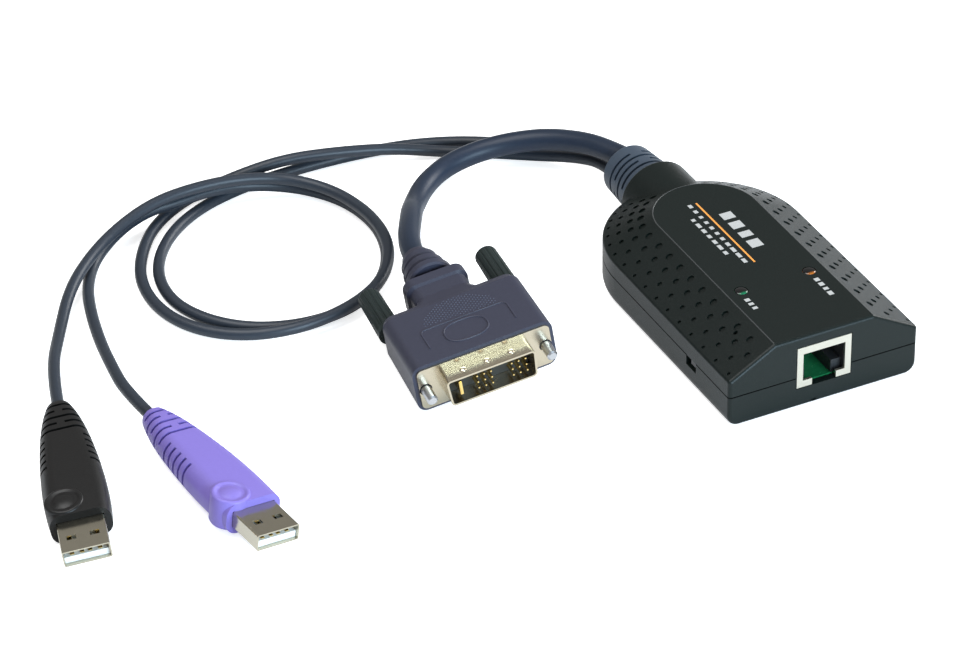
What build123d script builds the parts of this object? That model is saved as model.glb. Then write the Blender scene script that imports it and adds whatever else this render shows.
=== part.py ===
from build123d import *
import os
from math import cos, radians, sin, sqrt

# KVM dongle: a small housing with a network socket in its front face and three
# captive cables at its rear, one to a video plug and two to plugs for the
# computer's ports. Millimetres, +Z up, +Y from the socket to the cables.
# The origin is under the middle of the housing, on the surface it lies on.

# Housing
body_width = 55.0
body_length = 90.8
body_height = 21.3
wall = 2.0
shoulder_height = 13.8
panel_half_width = 14.3
bottom_edge_radius = 3.2
shoulder_radius = 0.9
front_edge_radius = 1.0
straight_length = 61.8
parting_height = 9.0
neck_radius = 10.4
neck_axis_height = 10.65
neck_wall = 1.8
neck_end_wall = 2.0
neck_edge_radius = 0.9

# Lip of the bottom cover, inside the top cover
lip_thickness = 0.9
lip_height = 1.5
lip_root = 2.0
lip_clearance = 0.1
lip_length = 33.0

# Screws between the covers
screw_across_front = 21.0
screw_across_rear = 18.0
screw_front_inset = 8.0
screw_rear_inset = 66.0
screw_shaft_diameter = 2.2
screw_head_diameter = 4.8
screw_head_height = 1.8
screw_head_depth = 0.4
screw_length = 11.0
screw_clearance = 0.1
head_clearance = 0.2
cross_width = 0.7
cross_length = 2.8
cross_depth = 0.9
boss_diameter = 6.0
boss_collar_diameter = 8.0
top_boss_diameter = 5.6

# Circuit board and what stands on it
board_bottom = 4.3
board_thickness = 1.6
board_half_width = 23.9
board_front_gap = 0.4
board_length = 67.5
board_corner = 3.0
board_hole_clearance = 0.2
chip_size = 14.0
chip_height = 1.4
chip_lead = 1.0
chip_lead_width = 0.5
chip_lead_pitch = 1.25
chip_leads_per_side = 10
chip_y = -6.0
transformer_width = 12.6
transformer_length = 8.6
transformer_height = 5.8
transformer_gap = 2.2
header_width = 18.0
header_length = 5.0
header_height = 5.5
header_y = 17.5
header_slot = 1.2
capacitor_diameter = 5.0
capacitor_height = 6.4
capacitor_x = 15.0
capacitor_y = -14.0
capacitor_pitch = 7.0

# Network socket
jack_width = 15.7
jack_bottom = 5.9
jack_top = 18.0
jack_length = 16.0
jack_cut_clearance = 0.2
jack_sheet = 0.5
jack_frame_depth = 0.8
jack_open_half_width = 6.1
jack_open_bottom = 7.8
jack_open_top = 15.9
jack_latch_left = -3.4
jack_latch_right = 3.6
jack_fit = 0.05
jack_mouth_depth = 13.0
latch_block_top = 9.7
latch_block_left_width = 1.7
latch_block_right_width = 2.7
latch_block_depth = 1.6
contact_count = 8
contact_pitch = 1.02
contact_width = 0.5
contact_thickness = 0.35

# Light guides
light_across = 10.0
light_inset = 25.6
light_hole_diameter = 3.7
light_diameter = 3.5
light_stem_diameter = 2.8
light_collar_diameter = 5.0
light_collar_height = 1.0
light_below_panel = 0.15
light_collar_gap = 0.1

# Pits in the shoulders: four rings beside the panel, crossed by slanting rows
pit_ring_offsets = (3.2, 6.0, 9.05, 11.8)
pit_diameters = (2.2, 1.9, 1.5, 1.1)
pit_depth = 0.5
pit_sides = 8
pit_rows = 17
pit_first_row = -23.2
pit_row_pitch = 6.7
pit_row_shrink = 0.0592
pit_front_margin = 2.5
pit_neck_margin = 0.3

# Small hole in the left shoulder and pry notch under the front edge
pin_hole_x = -18.7
pin_hole_inset = 12.8
pin_hole_diameter = 1.2
notch_x = -2.8
notch_width = 1.5
notch_height = 0.7
notch_depth = 0.6

# Slide switch behind the left wall
switch_slot_inset = 17.3
switch_slot_length = 5.1
switch_slot_bottom = 6.1
switch_travel = 2.0
switch_end_gap = 0.1
tab_height = 1.4
tab_top_gap = 0.15
tab_recess = 0.3
switch_case_length = 10.0
switch_case_width = 3.0
switch_case_height = 3.0
switch_case_wall = 0.6
switch_wall_gap = 0.2
slider_foot_width = 1.2
slider_fit = 0.1

# Strain relief in the neck
boot_length = 15.9
boot_base_radius = 8.5
boot_tip_radius = 7.45
boot_tip_height = 10.0
boot_tip_round = 1.2
boot_groove_radius = 7.0
boot_flange_radius = 8.3
boot_flange_length = 2.5
boot_fit = 0.1
boot_slot_width = 0.9
boot_slot_pitch = 2.4
boot_slot_first = 3.2
boot_slot_depth = 1.5
boot_slots = 4
boot_bridge_width = 3.4

# Cables
video_cable_diameter = 6.0
usb_cable_diameter = 3.2
cable_arc_share = 0.45
video_exit_height = 13.0
usb_exit_height = 7.0
usb_exit_across = 1.9

# Plugs for the computer's ports
usb_grip_length = 48.0
usb_shell_width = 12.0
usb_shell_height = 4.5
usb_shell_length = 11.6
usb_shell_sheet = 0.35
usb_shell_in_grip = 6.0
usb_window_width = 2.4
usb_window_length = 1.6
usb_window_across = 2.9
usb_window_inset = 5.2
usb_tongue_height = 1.8
usb_tongue_inset = 0.9
usb_fit = 0.05
usb_contact_across = (3.5, 1.0)
usb_contact_width = 1.0
usb_contact_height = 0.2
usb_contact_length = 7.0
usb_rib_width = 0.9
usb_rib_pitch = 2.7
usb_rib_first = 1.7
usb_rib_depth = 0.8
usb_ribs = 5
usb_side_rib_first = 16.0
usb_side_ribs = 5
usb_side_rib_reach = 2.4
usb_ring_diameter = 9.2
usb_ring_width = 1.1
usb_ring_depth = 0.35
usb_ring_at = 38.0
# Grip sections: distance from the cable, width, height, corner radius
usb_grip_sections = (
    (0.0, 6.4, 6.0, 2.8),
    (3.0, 8.4, 6.9, 3.2),
    (10.0, 11.6, 7.8, 3.6),
    (20.0, 14.3, 8.5, 3.9),
    (32.0, 16.1, 9.0, 4.1),
    (43.0, 16.2, 9.0, 4.0),
    (48.0, 15.4, 8.8, 3.4),
)

# Video plug
video_plug_length = 50.5
flange_width = 36.4
flange_height = 12.4
flange_thickness = 0.6
flange_corner = 1.5
dshell_width = 24.5
dshell_height = 8.2
dshell_taper = 0.5
dshell_corner = 1.2
dshell_sheet = 0.5
dshell_length = 5.2
dimple_diameter = 1.5
dimple_depth = 0.25
dimple_pitch = 6.5
dimple_count = 3
hood_width = 38.5
hood_height = 14.4
hood_corner = 2.8
hood_length = 24.4
hood_rear_inset = 0.95
hood_rear_drop = 1.3
hood_rear_round = 2.0
hood_neck_width = 15.8
hood_neck_height = 10.0
hood_neck_corner = 3.0
hood_neck_flare = 2.6
hood_neck_rise = 1.2
hood_neck_flare_length = 3.6
neck_bar_at = 13.0
neck_bar_length = 4.8
neck_bar_width = 17.2
neck_bar_height = 11.2
neck_bar_corner = 3.0
neck_bar_round = 0.9
relief_ring_radius = 6.7
relief_ring_drop = 0.8
relief_ring_length = 2.7
relief_ring_round = 0.5
relief_groove_radius = 4.3
relief_groove_width = 0.9
relief_rings = 3
relief_tail_radius = 3.9
screw_spacing = 33.0
rod_diameter = 2.84
rod_bore_clearance = 0.08
rod_reach = 5.2
rod_tip_chamfer = 0.4
thumb_length = 17.0
thumb_radius = 3.35
thumb_rear_radius = 3.05
thumb_gap = 0.3
thumb_flutes = 12
thumb_flute_radius = 0.45
thumb_socket_depth = 3.0
pin_pitch = 1.9
pin_diameter = 0.8
pin_length = 4.4
pin_columns = 3
pin_rows = 3
pin_left_edge = -5.7
pin_right_edge = 5.7
blade_thickness = 0.8
blade_width = 4.2
blade_x = -8.9
pin_root = 2.0

# Where each plug lies: the point where its cable enters, then yaw, pitch, roll
video_plug_at = (-71.58, 44.34, 12.3)
video_plug_turn = (-5.2, -2.5, -9.3)
black_plug_at = (-177.8, 32.1, 6.0)
black_plug_turn = (-15.5, -1.5, -8.0)
purple_plug_at = (-157.7, 18.6, 5.6)
purple_plug_turn = (7.6, -1.0, 6.5)

# Routes of the cables, from the strain relief to the plugs
video_route = [
    (0.0, 61.3, 13.0), (0.0, 70.8, 13.0), (-4.6, 81.0, 11.8), (-13.2, 89.3, 9.7),
    (-24.3, 94.3, 7.2), (-36.5, 94.8, 4.8), (-47.7, 89.9, 3.4), (-56.3, 80.2, 4.9),
    (-64.0, 68.8, 8.9), (-70.45, 56.78, 12.85), (-71.58, 44.34, 12.3),
]
black_route = [
    (-1.9, 61.3, 7.0), (-1.9, 70.3, 7.0), (-5.5, 80.0, 4.8), (-12.8, 89.3, 2.2),
    (-22.5, 97.0, 1.6), (-34.5, 104.0, 1.6), (-48.0, 109.0, 3.8), (-63.0, 111.5, 5.6),
    (-78.0, 115.0, 5.6), (-92.0, 117.3, 2.8), (-107.0, 115.0, 1.6), (-120.0, 107.0, 1.6),
    (-128.5, 96.0, 1.6), (-134.0, 84.5, 1.6), (-135.5, 72.0, 1.6), (-133.0, 60.5, 1.6),
    (-126.5, 51.0, 1.8), (-117.0, 44.0, 2.6), (-104.5, 40.8, 3.6), (-91.0, 42.6, 4.4),
    (-79.0, 49.6, 4.6), (-71.5, 60.5, 5.0), (-68.6, 72.5, 5.1), (-69.2, 84.5, 5.1),
    (-73.2, 96.5, 5.3), (-82.5, 105.0, 6.6), (-95.3, 107.6, 8.5), (-108.2, 108.0, 9.0),
    (-120.3, 106.3, 9.0), (-132.0, 102.3, 7.2), (-143.5, 95.0, 5.5), (-154.3, 83.5, 4.7),
    (-163.5, 68.0, 3.2), (-173.18, 48.76, 6.45), (-177.8, 32.1, 6.0),
]
purple_route = [
    (1.9, 61.3, 7.0), (1.9, 70.5, 7.0), (-2.5, 82.5, 4.2), (-12.0, 96.0, 1.6),
    (-25.5, 105.5, 1.6), (-38.5, 111.0, 1.6), (-51.0, 113.5, 1.6), (-64.0, 114.5, 1.6),
    (-77.5, 114.5, 1.6), (-92.0, 113.0, 1.6), (-107.0, 108.5, 1.6), (-119.5, 99.5, 1.6),
    (-128.5, 86.5, 1.6), (-131.0, 72.0, 1.6), (-127.0, 59.5, 1.6), (-118.5, 50.0, 1.6),
    (-107.0, 45.0, 1.6), (-95.0, 44.5, 1.6), (-84.0, 48.5, 1.6), (-75.0, 56.5, 1.6),
    (-69.0, 68.0, 1.6), (-67.0, 81.0, 1.6), (-69.6, 94.3, 1.6), (-77.5, 105.3, 1.8),
    (-89.5, 110.0, 3.6), (-102.0, 109.8, 5.6), (-112.5, 108.5, 5.6), (-122.0, 108.0, 5.6),
    (-132.0, 105.0, 3.6), (-141.5, 98.0, 1.6), (-148.0, 87.0, 1.6), (-151.9, 74.5, 1.6),
    (-155.0, 60.5, 2.2), (-157.6, 46.5, 4.4), (-159.55, 32.47, 5.84), (-157.7, 18.6, 5.6),
]

# Places worked out from the sizes
body_half = body_width / 2
front_y = -body_length / 2
neck_end_y = body_length / 2
round_y = front_y + straight_length
inner_front_y = front_y + wall
board_top = board_bottom + board_thickness
slope_drop = (body_height - shoulder_height) / (body_half - panel_half_width)
screw_places = [
    (-screw_across_front, front_y + screw_front_inset),
    (screw_across_front, front_y + screw_front_inset),
    (-screw_across_rear, front_y + screw_rear_inset),
    (screw_across_rear, front_y + screw_rear_inset),
]
screw_hole_radius = screw_shaft_diameter / 2 + screw_clearance
light_y = front_y + light_inset
jack_back_y = front_y + jack_length
switch_slot_y = front_y + switch_slot_inset
boot_tip_y = neck_end_y + boot_length
flange_inner_y = neck_end_y - neck_end_wall

os.makedirs("parts", exist_ok=True)


def across_plane(y):
    """upright plane square to the length, X to the right and Z up"""
    return Plane.XZ.offset(-y)


def housing_section(inset):
    """cross-section of the housing, pulled in by inset all round"""
    with BuildSketch() as section:
        with BuildLine():
            Polyline(
                (body_half, 0), (body_half, shoulder_height), (panel_half_width, body_height),
                (-panel_half_width, body_height), (-body_half, shoulder_height), (-body_half, 0),
                close=True,
            )
        make_face()
        corners = section.vertices()
        fillet(corners.group_by(Axis.Y)[0], bottom_edge_radius)
        fillet(section.vertices().filter_by(lambda v: abs(v.Y - shoulder_height) < 0.01), shoulder_radius)
        if inset:
            offset(amount=-inset, kind=Kind.INTERSECTION)
    return section.sketch


def housing_form(inset):
    """straight run from the front face, closed at the rear by half a turn of the same section"""
    section = housing_section(inset)
    with BuildPart() as form:
        with BuildSketch(across_plane(front_y + inset)):
            add(section)
        extrude(amount=-(straight_length - inset))
        with BuildSketch(across_plane(round_y)):
            add(section)
            Rectangle(body_width, 3 * body_height, align=(Align.MIN, Align.CENTER), mode=Mode.INTERSECT)
        revolve(axis=Axis((0, round_y, 0), (0, 0, 1)), revolution_arc=180)
    return form.part


def round_bar(radius, y_from, y_to, height=neck_axis_height, x=0.0):
    """round bar along the length"""
    with BuildPart() as bar:
        with BuildSketch(across_plane(y_to)):
            with Locations((x, height)):
                Circle(radius)
        extrude(amount=y_to - y_from)
    return bar.part


def block(x_from, x_to, y_from, y_to, z_from, z_to):
    """plain block between six planes"""
    with BuildPart() as solid:
        with BuildSketch(Plane.XY.offset(z_from)):
            with Locations(((x_from + x_to) / 2, (y_from + y_to) / 2)):
                Rectangle(x_to - x_from, y_to - y_from)
        extrude(amount=z_to - z_from)
    return solid.part


def posts(places, diameter, z_from, z_to):
    """round posts or holes of one size"""
    with BuildPart() as group:
        with BuildSketch(Plane.XY.offset(z_from)):
            with Locations(*places):
                Circle(diameter / 2)
        extrude(amount=z_to - z_from)
    return group.part


def pit_places():
    """centre, outward direction and diameter of each pit"""
    places = []
    for offset_out, diameter in zip(pit_ring_offsets, pit_diameters):
        ring = panel_half_width + offset_out
        height = body_height - slope_drop * offset_out
        for row in range(pit_rows):
            start = pit_first_row + pit_row_pitch * row - pit_row_shrink * row * (row - 1)
            across, along, behind = ring, ring + start, 0.0
            if along > straight_length:
                lead = start - straight_length
                if abs(lead) > ring:
                    continue
                across = (sqrt(2 * ring ** 2 - lead ** 2) - lead) / 2
                behind = across + lead
                along = straight_length + behind
            in_neck = across < neck_radius and behind > 0 and (
                neck_axis_height + sqrt(neck_radius ** 2 - across ** 2) > height - pit_neck_margin
            )
            if along < pit_front_margin or in_neck:
                continue
            for side in (-1, 1):
                centre = (side * across, front_y + along, height)
                outward = (slope_drop * side * across / ring, slope_drop * behind / ring, 1.0)
                places.append((centre, outward, diameter))
    return places


# Closed shell of the housing, from which both covers are cut
neck_inner_radius = neck_radius - neck_wall
with BuildPart() as closed_shell:
    add(housing_form(0))
    front_outline = closed_shell.faces().sort_by(Axis.Y)[0].edges()
    fillet(front_outline, front_edge_radius)
    add(round_bar(neck_radius, round_y, neck_end_y))
    neck_rim = closed_shell.faces().sort_by(Axis.Y)[-1].edges()
    fillet(neck_rim, neck_edge_radius)
    add(housing_form(wall), mode=Mode.SUBTRACT)
    add(round_bar(neck_inner_radius, round_y, flange_inner_y), mode=Mode.SUBTRACT)
    add(round_bar(boot_groove_radius + boot_fit, flange_inner_y - 1, neck_end_y + 1), mode=Mode.SUBTRACT)
    cut_half = jack_width / 2 + jack_cut_clearance
    add(
        block(-cut_half, cut_half, front_y - 1, inner_front_y + 1,
              jack_bottom - jack_cut_clearance, jack_top + jack_cut_clearance),
        mode=Mode.SUBTRACT,
    )

# Top cover: panel, sloped shoulders, upper half of the neck
with BuildPart() as top_cover:
    add(closed_shell.part)
    split(bisect_by=Plane.XY.offset(parting_height), keep=Keep.TOP)
    top_bosses = posts(screw_places, top_boss_diameter, parting_height, body_height)
    add(housing_form(wall / 2).intersect(top_bosses))
    add(
        posts(screw_places, 2 * screw_hole_radius, parting_height - 1,
              screw_head_depth + screw_head_height + screw_length + 1),
        mode=Mode.SUBTRACT,
    )
    add(
        posts([(-light_across, light_y), (light_across, light_y)], light_hole_diameter,
              body_height - 2 * wall, body_height + 1),
        mode=Mode.SUBTRACT,
    )
    add(
        posts([(pin_hole_x, front_y + pin_hole_inset)], pin_hole_diameter, shoulder_height, body_height),
        mode=Mode.SUBTRACT,
    )
    for centre, outward, diameter in pit_places():
        with BuildSketch(Plane(origin=centre, z_dir=outward)):
            RegularPolygon(diameter / 2, pit_sides)
        extrude(amount=pit_depth, both=True, mode=Mode.SUBTRACT)
top_cover.part.label = "top_cover"
export_step(top_cover.part, "parts/top_cover.step")

# Bottom cover: floor, low walls, screw bosses and the lip
lip_outer = body_half - wall - lip_clearance
lip_inner = lip_outer - lip_thickness
lip_start = round_y - lip_length
with BuildPart() as bottom_cover:
    add(closed_shell.part)
    split(bisect_by=Plane.XY.offset(parting_height), keep=Keep.BOTTOM)
    for side in (-1, 1):
        low, high = sorted((side * lip_inner, side * (body_half - wall / 2)))
        add(block(low, high, lip_start, round_y, parting_height - lip_root, parting_height))
        low, high = sorted((side * lip_inner, side * lip_outer))
        add(block(low, high, lip_start, round_y, parting_height, parting_height + lip_height))
    add(posts(screw_places, boss_collar_diameter, wall / 2, board_bottom))
    add(posts(screw_places, boss_diameter, wall / 2, parting_height))
    add(posts(screw_places, 2 * screw_hole_radius, -1, parting_height + 1), mode=Mode.SUBTRACT)
    add(
        posts(screw_places, screw_head_diameter + 2 * head_clearance, -1,
              screw_head_depth + screw_head_height),
        mode=Mode.SUBTRACT,
    )
    add(
        block(-body_half - 1, -body_half + wall + 1, switch_slot_y, switch_slot_y + switch_slot_length,
              switch_slot_bottom, parting_height + 1),
        mode=Mode.SUBTRACT,
    )
    add(
        block(notch_x - notch_width / 2, notch_x + notch_width / 2, front_y - 1, front_y + notch_depth,
              bottom_edge_radius / 5, bottom_edge_radius / 5 + notch_height),
        mode=Mode.SUBTRACT,
    )
bottom_cover.part.label = "bottom_cover"
export_step(bottom_cover.part, "parts/bottom_cover.step")

# Four screws through the bottom cover into the top cover's bosses
with BuildPart() as cover_screws:
    add(posts(screw_places, screw_head_diameter, screw_head_depth, screw_head_depth + screw_head_height))
    add(
        posts(screw_places, screw_shaft_diameter, screw_head_depth,
              screw_head_depth + screw_head_height + screw_length)
    )
    with BuildSketch(Plane.XY.offset(screw_head_depth)):
        with Locations(*screw_places):
            Rectangle(cross_length, cross_width)
            Rectangle(cross_width, cross_length)
    extrude(amount=cross_depth, mode=Mode.SUBTRACT)
cover_screws.part.label = "cover_screws"
export_step(cover_screws.part, "parts/cover_screws.step")

# Circuit board, resting on the collars of the bosses
board_front_y = inner_front_y + board_front_gap
with BuildPart() as circuit_board:
    with BuildSketch(Plane.XY.offset(board_bottom)):
        with Locations((0, board_front_y + board_length / 2)):
            RectangleRounded(2 * board_half_width, board_length, board_corner)
        with Locations(*screw_places):
            Circle(boss_diameter / 2 + board_hole_clearance, mode=Mode.SUBTRACT)
    extrude(amount=board_thickness)
circuit_board.part.label = "circuit_board"
export_step(circuit_board.part, "parts/circuit_board.step")

# Main chip with its rows of leads
chip_body_half = chip_size / 2 - chip_lead
with BuildPart() as main_chip:
    with BuildSketch(Plane.XY.offset(board_top + chip_height / 5)):
        with Locations((0, chip_y)):
            Rectangle(2 * chip_body_half, 2 * chip_body_half)
    extrude(amount=chip_height * 4 / 5)
    with BuildSketch(Plane.XY.offset(board_top)):
        with Locations((0, chip_y)):
            with GridLocations(chip_lead_pitch, 0, chip_leads_per_side, 1):
                Rectangle(chip_lead_width, chip_size)
            with GridLocations(0, chip_lead_pitch, 1, chip_leads_per_side):
                Rectangle(chip_size, chip_lead_width)
    extrude(amount=chip_height / 4)
main_chip.part.label = "main_chip"
export_step(main_chip.part, "parts/main_chip.step")

# Network transformer behind the socket
transformer_y = jack_back_y + transformer_gap
with BuildPart() as transformer:
    add(
        block(-transformer_width / 2, transformer_width / 2, transformer_y,
              transformer_y + transformer_length, board_top, board_top + transformer_height)
    )
    chamfer(transformer.faces().sort_by(Axis.Z)[-1].edges(), 0.4)
transformer.part.label = "transformer"
export_step(transformer.part, "parts/transformer.step")

# Header for the cable wires
with BuildPart() as cable_header:
    add(
        block(-header_width / 2, header_width / 2, header_y, header_y + header_length,
              board_top, board_top + header_height)
    )
    add(
        block(-header_width / 2 + header_slot, header_width / 2 - header_slot, header_y + header_slot,
              header_y + header_length - header_slot, board_top + header_slot, board_top + header_height + 1),
        mode=Mode.SUBTRACT,
    )
cable_header.part.label = "cable_header"
export_step(cable_header.part, "parts/cable_header.step")

# Two capacitors beside the chip
capacitor_places = [(capacitor_x, capacitor_y), (capacitor_x, capacitor_y + capacitor_pitch)]
with BuildPart() as capacitors:
    add(posts(capacitor_places, capacitor_diameter, board_top, board_top + capacitor_height))
    chamfer(capacitors.faces().sort_by(Axis.Z)[-2:].edges(), 0.3)
capacitors.part.label = "capacitors"
export_step(capacitors.part, "parts/capacitors.step")

# Socket: folded sheet shield with its framed mouth
jack_half = jack_width / 2
with BuildPart() as jack_shield:
    add(block(-jack_half, jack_half, front_y, jack_back_y, jack_bottom, jack_top))
    add(
        block(-jack_half + jack_sheet, jack_half - jack_sheet, front_y + jack_frame_depth,
              jack_back_y - jack_sheet, jack_bottom - 1, jack_top - jack_sheet),
        mode=Mode.SUBTRACT,
    )
    add(
        block(-jack_open_half_width, jack_open_half_width, front_y - 1, front_y + jack_frame_depth + 1,
              jack_open_bottom, jack_open_top),
        mode=Mode.SUBTRACT,
    )
    add(
        block(jack_latch_left, jack_latch_right, front_y - 1, front_y + jack_frame_depth + 1,
              jack_bottom - 1, jack_open_bottom + 1),
        mode=Mode.SUBTRACT,
    )
jack_shield.part.label = "jack_shield"
export_step(jack_shield.part, "parts/jack_shield.step")

# Socket: moulded insert with the latch shoulders
insert_half = jack_half - jack_sheet - jack_fit
insert_front_y = front_y + jack_frame_depth + jack_fit
insert_back_y = jack_back_y - jack_sheet - jack_fit
mouth_back_y = front_y + jack_mouth_depth
insert_top = jack_top - jack_sheet - jack_fit
with BuildPart() as jack_insert:
    add(block(-insert_half, insert_half, insert_front_y, insert_back_y, jack_bottom, insert_top))
    add(
        block(-jack_open_half_width, jack_open_half_width, insert_front_y - 1, mouth_back_y,
              jack_bottom - 1, jack_open_top),
        mode=Mode.SUBTRACT,
    )
    block_start = insert_front_y + latch_block_depth
    add(
        block(-jack_open_half_width, -jack_open_half_width + latch_block_left_width, block_start,
              mouth_back_y, jack_bottom, latch_block_top)
    )
    add(
        block(jack_open_half_width - latch_block_right_width, jack_open_half_width, block_start,
              mouth_back_y, jack_bottom, latch_block_top)
    )
jack_insert.part.label = "jack_insert"
export_step(jack_insert.part, "parts/jack_insert.step")

# Socket: eight spring contacts under the ceiling of the mouth
spring_top = jack_open_top - contact_thickness
with BuildPart() as jack_contacts:
    for place in GridLocations(contact_pitch, 0, contact_count, 1):
        contact_x = place.position.X
        with BuildSketch(Plane.YZ.offset(contact_x - contact_width / 2)):
            with BuildLine():
                Polyline(
                    (insert_front_y + 1.2, spring_top), (insert_front_y + 1.2, spring_top + contact_thickness),
                    (insert_front_y + 4.0, spring_top + contact_thickness),
                    (mouth_back_y - 1.2, spring_top - 1.3 + contact_thickness),
                    (mouth_back_y, spring_top - 2.4), (mouth_back_y, spring_top - 2.4 - contact_thickness),
                    (mouth_back_y - 1.4, spring_top - 1.3), (insert_front_y + 3.9, spring_top),
                    close=True,
                )
            make_face()
        extrude(amount=contact_width)
jack_contacts.part.label = "jack_contacts"
export_step(jack_contacts.part, "parts/jack_contacts.step")


def light_guide(x):
    """clear guide from the board to the panel, with a collar under the panel"""
    collar_top = body_height - wall - light_collar_gap
    with BuildPart() as guide:
        with BuildSketch(Plane.XZ.offset(-light_y)):
            with BuildLine():
                Polyline(
                    (x, board_top), (x + light_stem_diameter / 2, board_top),
                    (x + light_stem_diameter / 2, collar_top - light_collar_height),
                    (x + light_collar_diameter / 2, collar_top - light_collar_height),
                    (x + light_collar_diameter / 2, collar_top),
                    (x + light_diameter / 2, collar_top),
                    (x + light_diameter / 2, body_height - 3 * light_below_panel),
                    (x + light_diameter / 2 - 2 * light_below_panel, body_height - light_below_panel),
                    (x, body_height - light_below_panel),
                    close=True,
                )
            make_face()
        revolve(axis=Axis((x, light_y, 0), (0, 0, 1)))
    return guide.part


# Light guides of the two lamps
for guide_name, guide_x in (("link_light_guide", -light_across), ("power_light_guide", light_across)):
    guide = light_guide(guide_x)
    guide.label = guide_name
    export_step(guide, f"parts/{guide_name}.step")

# Slide switch: case on the board, open towards the wall
tab_length = switch_slot_length - switch_travel - 2 * switch_end_gap
tab_y = switch_slot_y + switch_end_gap
tab_top = parting_height - tab_top_gap
tab_bottom = tab_top - tab_height
case_left = -body_half + wall + switch_wall_gap
case_right = case_left + switch_case_width
case_y = switch_slot_y + switch_slot_length / 2 - switch_case_length / 2
case_top = board_top + switch_case_height + switch_case_wall
foot_left = case_left + switch_case_wall
foot_right = foot_left + slider_foot_width
with BuildPart() as switch_case:
    add(block(case_left, case_right, case_y, case_y + switch_case_length, board_top, case_top))
    add(
        block(foot_left - slider_fit, foot_right + slider_fit, switch_slot_y - 1,
              switch_slot_y + switch_slot_length + 1, board_top + switch_case_wall,
              case_top - switch_case_wall / 2),
        mode=Mode.SUBTRACT,
    )
    add(
        block(case_left - 1, foot_left, switch_slot_y - slider_fit,
              switch_slot_y + switch_slot_length + slider_fit,
              tab_bottom - slider_fit, tab_top + slider_fit),
        mode=Mode.SUBTRACT,
    )
switch_case.part.label = "switch_case"
export_step(switch_case.part, "parts/switch_case.step")

# Slide switch: slider with the tab that reaches into the slot of the wall
with BuildPart() as switch_slider:
    add(block(-body_half + tab_recess, foot_left, tab_y, tab_y + tab_length, tab_bottom, tab_top))
    add(
        block(foot_left, foot_right, tab_y, tab_y + tab_length, board_top + switch_case_wall + slider_fit,
              case_top - switch_case_wall / 2 - slider_fit)
    )
switch_slider.part.label = "switch_slider"
export_step(switch_slider.part, "parts/switch_slider.step")

# Strain relief: soft boot, held by its groove in the end wall of the neck
groove_start = flange_inner_y - boot_fit
with BuildPart() as strain_relief:
    with BuildSketch(across_plane(neck_end_y + boot_fit)):
        with Locations((0, neck_axis_height)):
            Circle(boot_base_radius)
    with BuildSketch(across_plane(boot_tip_y)):
        with Locations((0, boot_tip_height)):
            Circle(boot_tip_radius)
    loft()
    fillet(strain_relief.faces().sort_by(Axis.Y)[-1].edges(), boot_tip_round)
    for index in range(boot_slots):
        slot_y = neck_end_y + boot_slot_first + index * boot_slot_pitch
        with BuildSketch(across_plane(slot_y + boot_slot_width)):
            with Locations((0, neck_axis_height)):
                Circle(boot_base_radius + 1)
                Circle(boot_base_radius - boot_slot_depth - 0.07 * (slot_y - neck_end_y), mode=Mode.SUBTRACT)
                across, up = (boot_bridge_width, 3 * body_height)
                if index % 2 == 0:
                    across, up = up, across
                Rectangle(across, up, mode=Mode.SUBTRACT)
        extrude(amount=boot_slot_width, mode=Mode.SUBTRACT)
    add(round_bar(boot_groove_radius, groove_start, neck_end_y + boot_fit))
    add(round_bar(boot_flange_radius, groove_start - boot_flange_length, groove_start))
strain_relief.part.label = "strain_relief"
export_step(strain_relief.part, "parts/strain_relief.step")


def cable_radii(route):
    """radius of each arc: as large as the two runs beside it allow"""
    points = [Vector(*point) for point in route]
    radii = []
    for before, here, after in zip(points, points[1:], points[2:]):
        shorter = min((here - before).length, (after - here).length)
        half_turn = radians((here - before).get_angle(after - here)) / 2
        radii.append(cable_arc_share * shorter * cos(half_turn) / sin(half_turn))
    return radii


def cable_tube(route, diameter):
    """straight runs joined by tangent arcs, swept with the cable's round section"""
    with BuildPart() as tube:
        with BuildLine() as path:
            FilletPolyline(*route, radius=cable_radii(route))
        with BuildSketch(Plane(origin=path.line @ 0, z_dir=path.line % 0)):
            Circle(diameter / 2)
        sweep()
    length = sum(edge.length for edge in path.line.edges())
    section_area = 3.14159 * diameter ** 2 / 4
    return tube.part, length, tube.part.volume / (section_area * length)


for cable_name, route, diameter in (
    ("video_cable", video_route, video_cable_diameter),
    ("black_usb_cable", black_route, usb_cable_diameter),
    ("purple_usb_cable", purple_route, usb_cable_diameter),
):
    cable, cable_length, volume_ratio = cable_tube(route, diameter)
    smallest = min(cable_radii(route))
    print(cable_name, "length", round(cable_length, 1), "smallest radius", round(smallest, 1),
          "volume over section times length", round(volume_ratio, 4))
    cable.label = cable_name
    export_step(cable, f"parts/{cable_name}.step")


def plug_plane(at, turn):
    """plane of a plug: Y from the cable to the mating face, Z out of its upper side"""
    yaw, pitch, roll = turn
    heading = Location(at) * Location((0, 0, 0), (0, 0, 180 + yaw))
    return Plane(heading * Location((0, 0, 0), (pitch, 0, 0)) * Location((0, 0, 0), (0, -roll, 0)))


def usb_grip_form(inset):
    """moulded grip of a computer plug, pulled in by inset"""
    with BuildPart() as form:
        for along, width, height, corner in usb_grip_sections:
            with BuildSketch(across_plane(along)):
                RectangleRounded(width - 2 * inset, height - 2 * inset, corner - inset)
        loft()
    return form.part


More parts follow.
